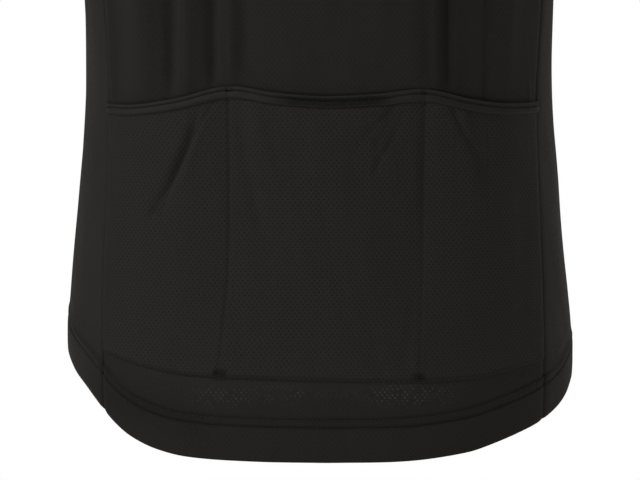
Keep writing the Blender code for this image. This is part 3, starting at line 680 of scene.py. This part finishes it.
def sleeveGrid(side):
    loop = armholeLoop(side) * (side, 1, 1)
    rings = np.array(sleeve["rings"])
    start = np.array([rings[0, 1] + rings[0, 3], 0, rings[0, 2] + rings[0, 4]]) / 2
    turn = np.arctan2(-(loop - start)[:, 1] / rings[0, 5], (loop - start)[:, 2] / (rings[0, 2] - start[2]))
    table = smoothRead(rings, np.linspace(0, 6, sleeve["rows"] + 1))
    top, bottom = np.zeros((len(table), 1, 3)), np.zeros((len(table), 1, 3))
    top[:, 0, 0], top[:, 0, 2], bottom[:, 0, 0], bottom[:, 0, 2] = table[:, :4].T
    centre, over = (top + bottom) / 2, (top - bottom) / 2
    ahead = np.array([0, -1.0, 0]) * table[:, 4][:, None, None]
    oval = centre + over * np.cos(turn)[None, :, None] + ahead * np.sin(turn)[None, :, None]
    points = mix(loop[None] + centre - start, oval, np.clip(table[:, 5], 0, 1)[:, None, None])
    outward = (points[1] - points[0]) / np.linalg.norm(points[1] - points[0], axis=-1, keepdims=True)
    points[0] = points[0] + outward * sleeve["gap"]
    points = np.roll(points, -int(np.argmin(np.abs(np.abs(turn) - np.pi))), axis=1)
    turn = np.roll(turn, -int(np.argmin(np.abs(np.abs(turn) - np.pi))))
    points = np.concatenate([points, points[:, :1]], 1)
    degrees = np.degrees(np.append(turn, turn[0])) % 360
    along = spans(points, 0)
    fromCuff = along[-1:] - along
    wave = np.sin(degrees[None] * 0.35 + 3 * np.sin(fromCuff * 41)) * np.sin(fromCuff * 90 + side)
    depth = strokeDepth(degrees[None], fromCuff, sleeve["creases"], sleeve["degree"])
    depth = depth + sleeve["ripple"] * wave
    depth = depth + hemDepth(fromCuff) + edgeSink(points, sides=False)
    normal = gridNormals(points)
    ends = normal[:, 0] + normal[:, -1]
    normal[:, 0] = normal[:, -1] = ends / np.linalg.norm(ends, axis=-1, keepdims=True)
    points = points + normal * depth[..., None]
    return points if side > 0 else points[:, ::-1] * (-1, 1, 1)


# Collar.

collar = {
    "back": 0.045, "front": 0.040, "leanIn": 0.0035, "leanForward": 0.0050, "gap": 0.00018,
    "rows": 30, "columns": 340, "height": 0.042, "degree": 0.00105, "upperRow": 0.0335, "lowerRow": 0.0032,
    # mm out or in: the seam, the turned top above its stitches, the stitches, the edge, the ripple
    "relief": (-0.60, 0.35, -0.30, -0.40, 0.12),
    "creases": [
        (40, 0.004, 58, 0.036, 1, 4.0, -0.7, 1.0),
        (310, 0.005, 298, 0.034, -1, 4.0, -0.7, 1.0),
        (100, 0.002, 112, 0.040, 2, 5.0, 0.5, 1.0),
        (262, 0.003, 247, 0.038, -2, 5.0, 0.5, 1.0),
        (160, 0.008, 171, 0.030, 1, 4.0, -0.4, 1.0),
        (205, 0.006, 196, 0.032, 1, 4.5, -0.4, 1.0),
    ],
}
neckAngles = np.linspace(0, 360, 1441)
neckLevels = neckHeight(neckAngles)


def collarPoint(angle, up, out=0.0):
    angle, up = np.broadcast_arrays(np.asarray(angle, float), np.asarray(up, float))
    base = plainPoint(angle, np.interp(angle % 360, neckAngles, neckLevels))
    behind = (1 - np.cos(np.radians(angle))) / 2
    rise = mix(collar["front"], collar["back"], behind) - collar["gap"]
    outward = base * (1, 1, 0)
    outward = outward / np.linalg.norm(outward, axis=-1, keepdims=True)
    lean = -outward * collar["leanIn"]
    lean[..., 1] -= collar["leanForward"] * behind
    point = base + lean * up[..., None] + outward * np.asarray(out)[..., None]
    point[..., 2] += collar["gap"] + rise * up
    return point


def collarGrid():
    first = float(angleOfX(zipper["edge"], neckHeight(0), False))
    angle = np.linspace(first, 360 - first, collar["columns"] + 1)[None]
    up = np.linspace(0, 1, collar["rows"] + 1)[:, None]
    level = up * collar["height"]
    depth = strokeDepth(angle, level, collar["creases"], collar["degree"])
    pastRow = level - collar["upperRow"]
    forms = (
        bell(level, 0.0022), smoothStep(pastRow / 0.0015), bell(pastRow, 0.0008),
        bell(collar["height"] - level, 0.0008), np.sin(angle * 0.9) * np.sin(up * 6))
    for amount, form in zip(collar["relief"], forms):
        depth = depth + amount * 0.001 * form
    return collarPoint(angle, up, depth)


# Zip.

zipper = {
    "edge": 0.0050, "outer": 0.0130, "closed": 0.00025, "parted": 0.0019, "wall": 0.0008, "depth": 0.0018,
    "columns": (0.0015, 0.0030, 0.0050, 0.0075, 0.0105), "teeth": 0.0013, "teethOut": 0.0002,
    "sliderBelowTop": 0.0115, "sliderHalf": 0.0052, "sliderClear": 0.0006, "partingUp": 0.0012,
    "toothPitch": 0.0016, "toothSize": (0.0030, 0.0011, 0.0009), "stitchAway": 0.0022,
    "tapeRows": 150, "collarRows": 24,
}


sliderLevel = float(neckHeight(0)) + collar["front"] - zipper["sliderBelowTop"]


def zipLine(side, x, out):  # up a front and then the collar, at x from the middle
    heights = np.linspace(float(hemHeight(0)), float(neckHeight(0)), zipper["tapeRows"])[:-1]
    angle = angleOfX(side * x, heights, False)
    depth = foldDepth(angle, heights) + out
    lower = plainPoint(angle, heights) + bodyNormal(angle, heights) * depth[:, None]
    ups = np.linspace(0, 1, zipper["collarRows"])
    angle = angleOfX(side * x, neckHeight(0), False)
    upper = collarPoint(angle, ups, out)
    line = np.vstack([lower, upper])
    opening = smoothStep((line[:, 2] - sliderLevel - zipper["partingUp"]) / 0.0012 + 1)
    line[:, 0] = side * np.where(x < 0.004, x + (zipper["parted"] - zipper["closed"]) * opening, x)
    return line


def tapeGrid(side):
    columns = (zipper["closed"], *zipper["columns"], zipper["outer"])
    lines = [zipLine(side, x, -zipper["depth"]) for x in columns]
    return np.stack(lines[::side], 1)


# Finishes. Every pattern runs on the cloth's own map, in metres, or on Object coordinates.

finish = {
    "meshKnit": {"colour": (0.0150, 0.0139, 0.0128), "roughness": 0.88, "sheen": 0.03},
    "pocketKnit": {"colour": (0.0168, 0.0155, 0.0142), "roughness": 0.88, "sheen": 0.03},
    "smoothKnit": {"colour": (0.0157, 0.0144, 0.0130), "roughness": 0.80, "sheen": 0.06},
    "elastic": {"colour": (0.0165, 0.0152, 0.0139), "roughness": 0.80, "sheen": 0.04},
    "tape": {"colour": (0.0120, 0.0117, 0.0115), "roughness": 0.82, "sheen": 0.08},
    "thread": {"colour": (0.0080, 0.0076, 0.0072), "roughness": 0.62, "sheen": 0.10},
    "coil": {"colour": (0.0110, 0.0110, 0.0112), "roughness": 0.42, "sheen": 0.0},
    "metal": {"colour": (0.0140, 0.0140, 0.0145), "roughness": 0.36, "sheen": 0.0},
    "sheenTint": (0.72, 0.68, 0.62, 1),
    "dotWidth": 0.0036, "dotHeight": 0.0042, "dotRadius": 0.00062,
}


def feed(tree, socket, value):
    if isinstance(value, bpy.types.NodeSocket):
        tree.links.new(value, socket)
    elif value is not None:
        socket.default_value = value


def node(tree, kind, *values, **settings):  # a new node with its inputs fed in order
    made = tree.nodes.new(kind)
    for key, value in settings.items():
        setattr(made, key, value)
    for socket, value in zip(made.inputs, values):
        feed(tree, socket, value)
    return made


def sums(tree, operation, *values):
    return node(tree, "ShaderNodeMath", *values, operation=operation).outputs[0]


def ramp(tree, value, low, high, lowTo=0.0, highTo=1.0):
    made = node(tree, "ShaderNodeMapRange", value, low, high, lowTo, highTo, interpolation_type="SMOOTHSTEP")
    return made.outputs[0]


def blendColour(tree, share, first, second, mode="MIX"):
    made = tree.nodes.new("ShaderNodeMix")
    made.data_type, made.blend_type = "RGBA", mode
    feed(tree, made.inputs["Factor"], share)
    feed(tree, made.inputs[6], first)
    feed(tree, made.inputs[7], second)
    return made.outputs[2]


def newGroup(name, inputs, outputs):
    tree = bpy.data.node_groups.new(name, "ShaderNodeTree")
    for socket, kind, value in inputs:
        made = tree.interface.new_socket(socket, in_out="INPUT", socket_type=kind)
        if value is not None:
            made.default_value = value
    for socket, kind in outputs:
        tree.interface.new_socket(socket, in_out="OUTPUT", socket_type=kind)
    return tree, tree.nodes.new("NodeGroupInput").outputs, tree.nodes.new("NodeGroupOutput").inputs


def makeDotGroup():  # staggered pinholes: one at each corner of a cell and one in its middle
    tree, given, out = newGroup(
        "meshDots",
        [("Cloth", "NodeSocketVector", None), ("Width", "NodeSocketFloat", 0.005),
         ("Height", "NodeSocketFloat", 0.004), ("Radius", "NodeSocketFloat", 0.0005)],
        [("Dots", "NodeSocketFloat"), ("Dimples", "NodeSocketFloat")])
    parts = node(tree, "ShaderNodeSeparateXYZ", given["Cloth"]).outputs
    wobble = node(tree, "ShaderNodeTexNoise", given["Cloth"], None, 160.0, 1.0).outputs[0]
    across = sums(tree, "DIVIDE", parts[0], given["Width"])
    across = sums(tree, "ADD", across, sums(tree, "MULTIPLY", wobble, 0.12))
    along = sums(tree, "DIVIDE", parts[1], given["Height"])
    distances = []
    for shift in (0.0, 0.5):
        sides = []
        for value, size in ((across, given["Width"]), (along, given["Height"])):
            cell = sums(tree, "SUBTRACT", sums(tree, "FRACT", sums(tree, "ADD", value, shift)), 0.5)
            sides.append(sums(tree, "POWER", sums(tree, "ABSOLUTE", sums(tree, "MULTIPLY", cell, size)), 2.0))
        distances.append(sums(tree, "ADD", *sides))
    near = sums(tree, "SQRT", sums(tree, "MINIMUM", *distances))
    share = sums(tree, "DIVIDE", near, given["Radius"])
    feed(tree, out["Dots"], ramp(tree, share, 1.35, 0.65))
    feed(tree, out["Dimples"], ramp(tree, share, 2.4, 0.3))
    return tree


def makeKnitGroup():  # fine knit: upright wales of small loops
    tree, given, out = newGroup(
        "fineKnit",
        [("Cloth", "NodeSocketVector", None), ("Wale", "NodeSocketFloat", 0.0009),
         ("Course", "NodeSocketFloat", 0.0007), ("Uneven", "NodeSocketFloat", 0.3)],
        [("Height", "NodeSocketFloat"), ("Tone", "NodeSocketFloat")])
    parts = node(tree, "ShaderNodeSeparateXYZ", given["Cloth"]).outputs
    wale = sums(tree, "MULTIPLY", sums(tree, "DIVIDE", parts[0], given["Wale"]), math.pi)
    rib = sums(tree, "ABSOLUTE", sums(tree, "SINE", wale))
    slant = sums(tree, "MULTIPLY", rib, 0.9)
    course = sums(tree, "MULTIPLY", sums(tree, "DIVIDE", parts[1], given["Course"]), math.pi)
    loop = sums(tree, "ABSOLUTE", sums(tree, "SINE", sums(tree, "ADD", course, slant)))
    grain = node(tree, "ShaderNodeTexNoise", given["Cloth"], None, 900.0, 2.0).outputs[0]
    uneven = sums(tree, "MULTIPLY", grain, given["Uneven"])
    feed(tree, out["Height"], sums(tree, "ADD", sums(tree, "MULTIPLY", rib, loop), uneven))
    feed(tree, out["Tone"], grain)
    return tree


def makeToneGroup():  # broad unevenness of the dye and the nap
    tree, given, out = newGroup(
        "clothTone", [("Place", "NodeSocketVector", None), ("Strength", "NodeSocketFloat", 0.1)],
        [("Tone", "NodeSocketFloat"), ("Roughness", "NodeSocketFloat")])
    broad = node(tree, "ShaderNodeTexNoise", given["Place"], None, 9.0, 3.0).outputs[0]
    fine = node(tree, "ShaderNodeTexNoise", given["Place"], None, 520.0, 2.0).outputs[0]
    mixed = sums(tree, "ADD", sums(tree, "MULTIPLY", broad, 0.7), sums(tree, "MULTIPLY", fine, 1.3))
    centred = sums(tree, "MULTIPLY", sums(tree, "SUBTRACT", mixed, 1.0), given["Strength"])
    feed(tree, out["Tone"], sums(tree, "ADD", centred, 1.0))
    feed(tree, out["Roughness"], sums(tree, "MULTIPLY", centred, 0.5))
    return tree


dotGroup, knitGroup, toneGroup = makeDotGroup(), makeKnitGroup(), makeToneGroup()


def useGroup(tree, group, **values):
    made = tree.nodes.new("ShaderNodeGroup")
    made.node_tree = group
    for name, value in values.items():
        feed(tree, made.inputs[name], value)
    return made.outputs


def newMaterial(name):
    material = bpy.data.materials.new(name)
    material.use_nodes = True
    tree = material.node_tree
    place = tree.nodes.new("ShaderNodeTexCoord").outputs["Object"]
    return material, tree, tree.nodes["Principled BSDF"], place


def addBump(tree, shader, height, distance, strength):
    bump = tree.nodes.new("ShaderNodeBump")
    feed(tree, bump.inputs["Height"], height)
    bump.inputs["Distance"].default_value = distance
    bump.inputs["Strength"].default_value = strength
    feed(tree, shader.inputs["Normal"], bump.outputs[0])


def newCloth(name, look, dots=0.0, wale=0.0009, course=0.0007, knit=0.25, paintedBacklight=False, usesPaintedShade=True):
    settings = finish[look]
    material, tree, shader, place = newMaterial(name)
    cloth = node(tree, "ShaderNodeUVMap", uv_map="cloth").outputs[0]
    tone = useGroup(tree, toneGroup, Place=place, Strength=1.05)
    weave = useGroup(tree, knitGroup, Cloth=cloth, Wale=wale, Course=course)
    colour = (*settings["colour"], 1)
    grain = sums(tree, "ADD", sums(tree, "MULTIPLY", weave["Tone"], 0.9), 0.55)
    shade = sums(tree, "MULTIPLY", tone["Tone"], grain)
    height = sums(tree, "MULTIPLY", weave["Height"], knit)
    if dots:
        holes = useGroup(
            tree, dotGroup, Cloth=cloth, Width=finish["dotWidth"], Height=finish["dotHeight"],
            Radius=finish["dotRadius"])
        # the pinholes are not cut: their dark colour is partly the black cloth behind and partly painted
        # shade inside each hole
        paintedHoleShade = sums(tree, "MULTIPLY", holes["Dots"], dots)
        shade = sums(tree, "MULTIPLY", shade, sums(tree, "SUBTRACT", 1.0, paintedHoleShade))
        height = sums(tree, "SUBTRACT", height, sums(tree, "MULTIPLY", holes["Dimples"], dots))
    if usesPaintedShade:
        # painted shade: the piece's shade attribute darkens the colour in folds, seams, stitch rows and the
        # pocket mouth
        mask = node(tree, "ShaderNodeAttribute", attribute_name="shade").outputs["Fac"]
        shade = sums(tree, "MULTIPLY", shade, sums(tree, "SUBTRACT", 1.0, mask))
    colour = blendColour(tree, 1.0, colour, shade, "MULTIPLY")
    if paintedBacklight:
        # painted light: pale dots in the holes, as if light showed through them from behind
        mask = node(tree, "ShaderNodeAttribute", attribute_name="paintedBacklight").outputs["Fac"]
        fleck = node(tree, "ShaderNodeTexNoise", cloth, None, 210.0, 1.0).outputs[0]
        shown = sums(tree, "MULTIPLY", mask, holes["Dots"])
        shown = sums(tree, "MULTIPLY", shown, ramp(tree, fleck, 0.34, 0.60))
        colour = blendColour(tree, shown, colour, (0.060, 0.057, 0.053, 1))
    feed(tree, shader.inputs["Base Color"], colour)
    feed(tree, shader.inputs["Roughness"], sums(tree, "ADD", settings["roughness"], tone["Roughness"]))
    addBump(tree, shader, height, 0.0003, 0.6)
    shader.inputs["Specular IOR Level"].default_value = 0.25
    shader.inputs["Sheen Weight"].default_value = settings["sheen"]
    shader.inputs["Sheen Roughness"].default_value = 0.45
    shader.inputs["Sheen Tint"].default_value = finish["sheenTint"]
    return material


def newHard(name, look, grainScale, specular=0.5):  # thread, coil and painted metal
    settings = finish[look]
    material, tree, shader, place = newMaterial(name)
    tone = useGroup(tree, toneGroup, Place=place, Strength=0.3)
    grain = node(tree, "ShaderNodeTexNoise", place, None, grainScale, 3.0).outputs[0]
    colour = blendColour(tree, 1.0, (*settings["colour"], 1), tone["Tone"], "MULTIPLY")
    if look == "metal":  # paint worn thin along edges and high spots
        edge = ramp(tree, tree.nodes.new("ShaderNodeNewGeometry").outputs["Pointiness"], 0.53, 0.60)
        worn = sums(tree, "MULTIPLY", edge, ramp(tree, grain, 0.50, 0.62))
        colour = blendColour(tree, worn, colour, (0.13, 0.13, 0.13, 1))
    feed(tree, shader.inputs["Base Color"], colour)
    rough = sums(tree, "ADD", sums(tree, "MULTIPLY", grain, 0.2), settings["roughness"] - 0.1)
    feed(tree, shader.inputs["Roughness"], rough)
    addBump(tree, shader, grain, 0.0001, 0.4)
    shader.inputs["Specular IOR Level"].default_value = specular
    return material


# Small sewn and moulded pieces, many copies joined as one.


def resample(line, normals, pitch, start=0.0):  # evenly spaced places with their directions
    length = spans(line, 0)
    at = np.arange(start + pitch / 2, length[-1], pitch)
    here, ahead, facing = (
        np.stack([np.interp(at + step, length, values[:, axis]) for axis in range(3)], -1)
        for step, values in ((0, line), (0.0002, line), (0, normals)))
    along = ahead - here
    return here, along / np.linalg.norm(along, axis=-1, keepdims=True), facing


def addBeads(name, groups, size, material):  # groups of (places, directions, normals)
    shape = bmesh.new()
    for places, directions, normals in groups:
        for place, along, out in zip(places, directions, normals):
            along, out = Vector(along).normalized(), Vector(out)
            out = (out - along * out.dot(along)).normalized()
            turn = Matrix((along, out.cross(along), out)).transposed().to_4x4()
            bmesh.ops.create_icosphere(
                shape, subdivisions=1, radius=0.5,
                matrix=Matrix.Translation(place) @ turn @ Matrix.Diagonal((*size, 1)))
    mesh = newMesh(name, shape)
    mesh.shade_smooth()
    return dress(addObject(name, mesh), None, material)


def lineUp(points, share):  # a line up a grid, between its columns
    low = int(np.clip(math.floor(share), 0, points.shape[1] - 2))
    return [mix(values[:, low], values[:, low + 1], share - low) for values in (points, gridNormals(points))]


def lineAbove(points, distance):  # a line at a distance above the lower edge of a grid
    along = spans(points, 0)

    def place(values, at):
        return [np.interp(distance, along[:, at], values[:, at, axis]) for axis in range(3)]

    columns = range(points.shape[1])
    return [np.array([place(values, at) for at in columns]) for values in (points, gridNormals(points))]


# The pieces.

meshCloth = newCloth("meshKnit", "meshKnit", dots=0.35, paintedBacklight=True)
pocketCloth = newCloth("pocketMesh", "pocketKnit", dots=0.62, wale=0.0017, course=0.0014, knit=0.5)
sideCloth = newCloth("smoothKnit", "smoothKnit", wale=0.0010, course=0.0008, knit=0.3)
bindingCloth = newCloth("elasticBinding", "elastic", wale=0.0016, course=0.0005, knit=0.5)
tapeCloth = newCloth("zipTape", "tape", wale=0.0012, course=0.0006, knit=0.5, usesPaintedShade=False)
thread = newHard("thread", "thread", 3000.0, 0.3)
coilNylon = newHard("zipCoil", "coil", 1500.0)
blackMetal = newHard("blackMetal", "metal", 900.0)
print("finishes ready")


def bodyGrid(places, drop=0.0):
    angle, height = places[..., 0], places[..., 1]
    plain = plainPoint(angle, height)
    out = edgeSink(plain) + hemDepth(np.maximum(height - hemHeight(angle), 0)) - drop * seamShade(plain)
    return bodyPoint(angle, height, out)


def keepHemLines(points, paths):
    for row in hem["rows"]:
        paths.append(lineAbove(points, row))


hemPaths, zipPaths = [], []  # lines of stitches, each with its normals
backColumns = 3 * cloth["backThird"]

# painted light: pale specks in the holes, as if light showed through from behind where the mesh is stretched
# thin: x and z of the middle, half width, half height, strength, sharpness
paintedLightPatches = [
    (0.056, -0.643, 0.048, 0.009, 0.40, 2), (0.074, -0.6465, 0.024, 0.0085, 0.25, 2),
    (-0.060, -0.643, 0.043, 0.009, 0.55, 2), (-0.052, -0.6455, 0.022, 0.0095, 0.35, 2),
    (0.000, -0.641, 0.030, 0.003, 0.40, 3),
]
places = backPlaces(backColumns)
points = bodyGrid(places)
backPanel, cells = addSheet("backPanel", points, middle=backColumns // 2)
x, z = points[..., 0], places[..., 1]
paintedBacklight = np.zeros(z.shape)
for patchX, patchZ, halfWidth, halfHeight, strength, sharp in paintedLightPatches:
    across = smoothStep((1 - np.abs(x - patchX) / halfWidth) * sharp)
    paintedBacklight += strength * across * smoothStep((1 - np.abs(z - patchZ) / halfHeight) * sharp)
addMask(backPanel, "paintedBacklight", np.clip(paintedBacklight, 0, 1), cells)
addMask(backPanel, "shade", paintedClothShade(places[..., 0], z, points), cells)
keepHemLines(points, hemPaths)
dress(backPanel, "back_panel", meshCloth)
print("back panel made")

for side, word in ((1, "left"), (-1, "right")):
    columns = cloth["frontColumns"]
    places = frontPlaces(side, columns)
    outerHalf = np.linspace(-side, side, columns + 1) > 0
    points = bodyGrid(places, cloth["seamDrop"] * (tuckedRows(len(places))[:, None] & outerHalf))
    front, cells = addSheet(word + "Front", points, middle=0 if side > 0 else columns)
    addMask(front, "paintedBacklight", np.zeros(points.shape[:2]), cells)
    addMask(front, "shade", paintedClothShade(places[..., 0], places[..., 1], points), cells)
    keepHemLines(points, hemPaths)
    nearZip = zipper["stitchAway"] / (spans(points, 1)[:, -1].mean() / columns)
    zipPaths.append(lineUp(points, nearZip if side > 0 else columns - nearZip))
    dress(front, word + "_front", meshCloth)

    places = sidePlaces(side, cloth["sideColumns"])
    points = bodyGrid(places, cloth["seamDrop"])
    panel, cells = addSheet(word + "SidePanel", points, middle=cloth["sideColumns"] // 2)
    addMask(panel, "shade", paintedClothShade(places[..., 0], places[..., 1], points), cells)
    keepHemLines(points, hemPaths)
    dress(panel, word + "_side_panel", sideCloth)

    points = sleeveGrid(side)
    arm = addSheet(word + "Sleeve", points, middle=points.shape[1] // 2, closed=True)[0]
    keepHemLines(points[::-1], hemPaths)
    dress(arm, word + "_sleeve", sideCloth)

    tape = addSheet("zipTape" + word.capitalize(), tapeGrid(side), wall=zipper["wall"])[0]
    dress(tape, "zip_tape_" + word, tapeCloth)
print("fronts, side panels, sleeves and zip tapes made")

points = collarGrid()
band = addSheet("collarBand", points, middle=collar["columns"] // 2)[0]
collarPaths = [lineAbove(points, collar[row]) for row in ("lowerRow", "upperRow")]
dress(band, "collar", sideCloth)

steps = np.linspace(0, 3, backColumns + 1)[None]
ups = [np.linspace(0, 0.05, 11), np.linspace(0.05, 0.90, 60)[1:], np.linspace(0.90, 0.999, 26)[1:]]
ups = np.concatenate(ups)[:, None]
plain = pocketPoint(steps, ups)
fromBottom = ups * pocket["depth"]
out = edgeSink(plain) + 0.0003 * bell(fromBottom - 0.0030, 0.0030) - 0.0006 * bell(fromBottom, 0.0020)
points = pocketPoint(steps, ups, out)
pocketPanel, cells = addSheet("pocketPanel", points, middle=backColumns // 2)
angle, height, _ = pocketPlace(steps, ups)
# painted shade on the pockets: along creases, on the bottom row of stitches, along the seams between pockets
# and at the side seams; the cloth is also darker at the lower bartacks
shade = strokeDepth(angle, height, pocket["shade"]) * 1000
shade = shade + paintedShading["pocketBottom"] * bell(fromBottom - pocket["bottomRow"], paintedShading["bottomWidth"])
seamAway = fromSeam(steps) * pocket["stitchStep"]
ends = smoothStep((0.0052 - seamAway) / 0.0012)  # the lower bartacks
shade = shade + 0.5 * ends * smoothStep((0.0026 - np.abs(fromBottom - 0.0040)) / 0.0010)
shade = shade + paintedShading["pocketSeam"] * bell(seamAway, paintedShading["pocketSeamWidth"])
shade = shade + paintedShading["pocketSide"] * seamShade(plain)
addMask(pocketPanel, "shade", np.clip(shade, 0, paintedShading["darkest"]), cells)
pocketBottom = lineAbove(points, pocket["bottomRow"])
divisionLines = [lineUp(points, cloth["backThird"] * at) for at in (1, 2)]
dress(pocketPanel, "pocket_panel", pocketCloth)

profileDown, profileOut = np.array(binding["profile"]).T[..., None]
points = bindingPoint(steps, profileDown, profileOut + edgeSink(plain[:1]) * 900)
edging, cells = addSheet("pocketBinding", points, middle=backColumns // 2, wall=binding["wall"])
# painted shade on the binding's outer face: dark across the middle pocket's open mouth, darker towards the
# right, less on the lowest edge
outside = np.arange(len(profileDown))[:, None] < binding["outerRows"]
outside = smoothStep((profileDown - 0.3) / 0.6) * outside
outside = outside * (1 - 0.7 * smoothStep((profileDown - 6.2) / 0.8))
shade = binding["paintedShadeMiddle"] * smoothStep((0.36 - np.abs(steps - 1.53)) * 6)
shade = (shade + binding["paintedShadeRight"] * smoothStep((steps - 1.85) * 4)) * outside
addMask(edging, "shade", shade, cells)
bindingLine = [
    bindingPoint(steps, binding["stitchDown"], binding["stitchOut"])[0],
    gridNormals(points)[binding["stitchRow"]]]
dress(edging, "pocket_binding", bindingCloth)
print("collar, pockets and binding made")


# Stitches, bartacks and zip.

def stitchAll(name, paths, pitch=0.0029, size=(0.0023, 0.00048, 0.00042)):
    groups = [resample(line, normals, pitch) for line, normals in paths]
    return addBeads(name, groups, size, thread)


stitchAll("hemStitches", hemPaths)
stitchAll("zipEdgeStitches", zipPaths)
stitchAll("collarStitches", collarPaths, 0.0025)
stitchAll("bindingStitches", [bindingLine], 0.0030, (0.0022, 0.00045, 0.0004))
stitchAll("pocketBottomStitches", [pocketBottom], 0.0027)
stitchAll("pocketSeamStitches", divisionLines, 0.0031, (0.0021, 0.0005, 0.0004))

bartack = {
    # steps across, m down from the mouth or up from the bottom, width, height, rows
    "places": [(1.0, 0.0026, 0.0066, 0.0052, 6), (2.0, 0.0026, 0.0066, 0.0052, 6)],
    "lowPlaces": [(1.0, 0.0026, 0.0100, 0.0046, 4), (2.0, 0.0026, 0.0085, 0.0046, 4)],
}


def bartackRows(places, fromBottom):
    groups = []
    for step, distance, width, height, count in places:
        for line in range(count):
            down = distance + height * (line / (count - 1) - 0.5)
            up = down / pocket["depth"] if fromBottom else 1 - down / pocket["depth"]
            across = step + np.linspace(-0.5, 0.5, 9) * width / pocket["stitchStep"]
            rows = np.array([[up], [up + 0.001]])
            points = pocketPoint(across[None], rows, 0.0004 if fromBottom else 0.0011)
            groups.append(resample(points[0], gridNormals(points)[0], 0.0020))
    return groups


addBeads(
    "bartacks", bartackRows(bartack["places"], False) + bartackRows(bartack["lowPlaces"], True),
    (0.0024, 0.0006, 0.0006), thread)

toothGroups = []
for side in (1, -1):
    line = zipLine(side, zipper["teeth"], -zipper["depth"] + zipper["teethOut"])
    normals = np.tile((0.0, -1.0, 0.0), (len(line), 1))
    start = 0.0 if side > 0 else zipper["toothPitch"] / 2
    places, along, facing = resample(line, normals, zipper["toothPitch"], start)
    clear = np.abs(places[:, 2] - sliderLevel) > zipper["sliderHalf"] + zipper["sliderClear"]
    across = np.cross(along, facing)
    toothGroups.append((places[clear], across[clear], facing[clear]))
addBeads("zipCoil", toothGroups, zipper["toothSize"], coilNylon)

for name in ("zip_slider", "zip_pull_tab"):
    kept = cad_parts[name]
    for place in kept.material_slots:
        place.material = blackMetal
    if not kept.material_slots:
        kept.data.materials.append(blackMetal)
print("stitches, bartacks and zip made")


# Floor, light and camera.

studio = {
    "floorLevel": -1.25, "floorRadius": 3.2, "around": 0.03, "backdrop": 1.0,
    # where, size, watts, colour
    "lights": [
        ((1.60, 1.20, 1.60), 1.0, 42, (1.0, 0.985, 0.96)),
        ((2.35, 0.40, 0.10), 1.1, 8, (1.0, 0.98, 0.96)),
        ((-2.32, -0.62, 0.10), 1.1, 11, (1.0, 0.95, 0.90)),
        ((-2.08, 1.20, 0.20), 1.1, 6, (1.0, 0.97, 0.94)),
        ((0.30, 1.80, -1.10), 1.0, 14, (1.0, 1.0, 1.0)),
        ((-0.90, -2.20, 1.20), 1.2, 26, (1.0, 1.0, 1.0)),
    ],
    "target": (0.0049, 0.115, -0.535), "cameraTurn": 2.79, "cameraRise": 3.5, "cameraAway": 2.4,
    "lens": 193.0, "lightsAim": (0, 0, -0.45), "floorTone": (0.86, 0.86, 0.86, 1),
}


def addFloor():
    shape = bmesh.new()
    bmesh.ops.create_circle(shape, cap_ends=True, radius=studio["floorRadius"], segments=96)
    bmesh.ops.translate(shape, verts=shape.verts, vec=(0, 0, studio["floorLevel"]))
    floor = addObject("floor", newMesh("floor", shape))
    pale = bpy.data.materials.new("paleFloor")
    pale.use_nodes = True
    shader = pale.node_tree.nodes["Principled BSDF"]
    shader.inputs["Base Color"].default_value = studio["floorTone"]
    shader.inputs["Roughness"].default_value = 0.9
    floor.data.materials.append(pale)


def addLights():
    for place, size, watts, colour in studio["lights"]:
        lamp = bpy.data.lights.new("softbox", "AREA")
        lamp.size, lamp.energy, lamp.color = size, watts, colour
        thing = addObject("softbox", lamp)
        thing.location = place
        aim = Vector(studio["lightsAim"]) - Vector(place)
        thing.rotation_euler = aim.to_track_quat("-Z", "Y").to_euler()
    world = bpy.data.worlds.new("studio")
    bpy.context.scene.world = world
    world.use_nodes = True
    tree = world.node_tree
    path = tree.nodes.new("ShaderNodeLightPath").outputs["Is Camera Ray"]
    level = sums(tree, "MULTIPLY", path, studio["backdrop"] - studio["around"])
    level = sums(tree, "ADD", level, studio["around"])
    feed(tree, tree.nodes["Background"].inputs["Color"], (1, 1, 1, 1))
    feed(tree, tree.nodes["Background"].inputs["Strength"], level)


def addCamera():
    turn, rise = math.radians(studio["cameraTurn"]), math.radians(studio["cameraRise"])
    back = Vector((math.sin(turn) * math.cos(rise), math.cos(turn) * math.cos(rise), math.sin(rise)))
    eye = bpy.data.cameras.new("camera")
    eye.lens, eye.sensor_width, eye.clip_start, eye.clip_end = studio["lens"], 36.0, 0.05, 60.0
    camera = addObject("camera", eye)
    camera.location = Vector(studio["target"]) + back * studio["cameraAway"]
    camera.rotation_euler = (-back).to_track_quat("-Z", "Y").to_euler()
    bpy.context.scene.camera = camera


addFloor()
addLights()
addCamera()
bpy.context.scene.view_settings.view_transform = "Standard"
bpy.context.scene.view_settings.look = "None"
bpy.context.scene.view_settings.exposure = 0.0
print("floor, lights and camera placed")
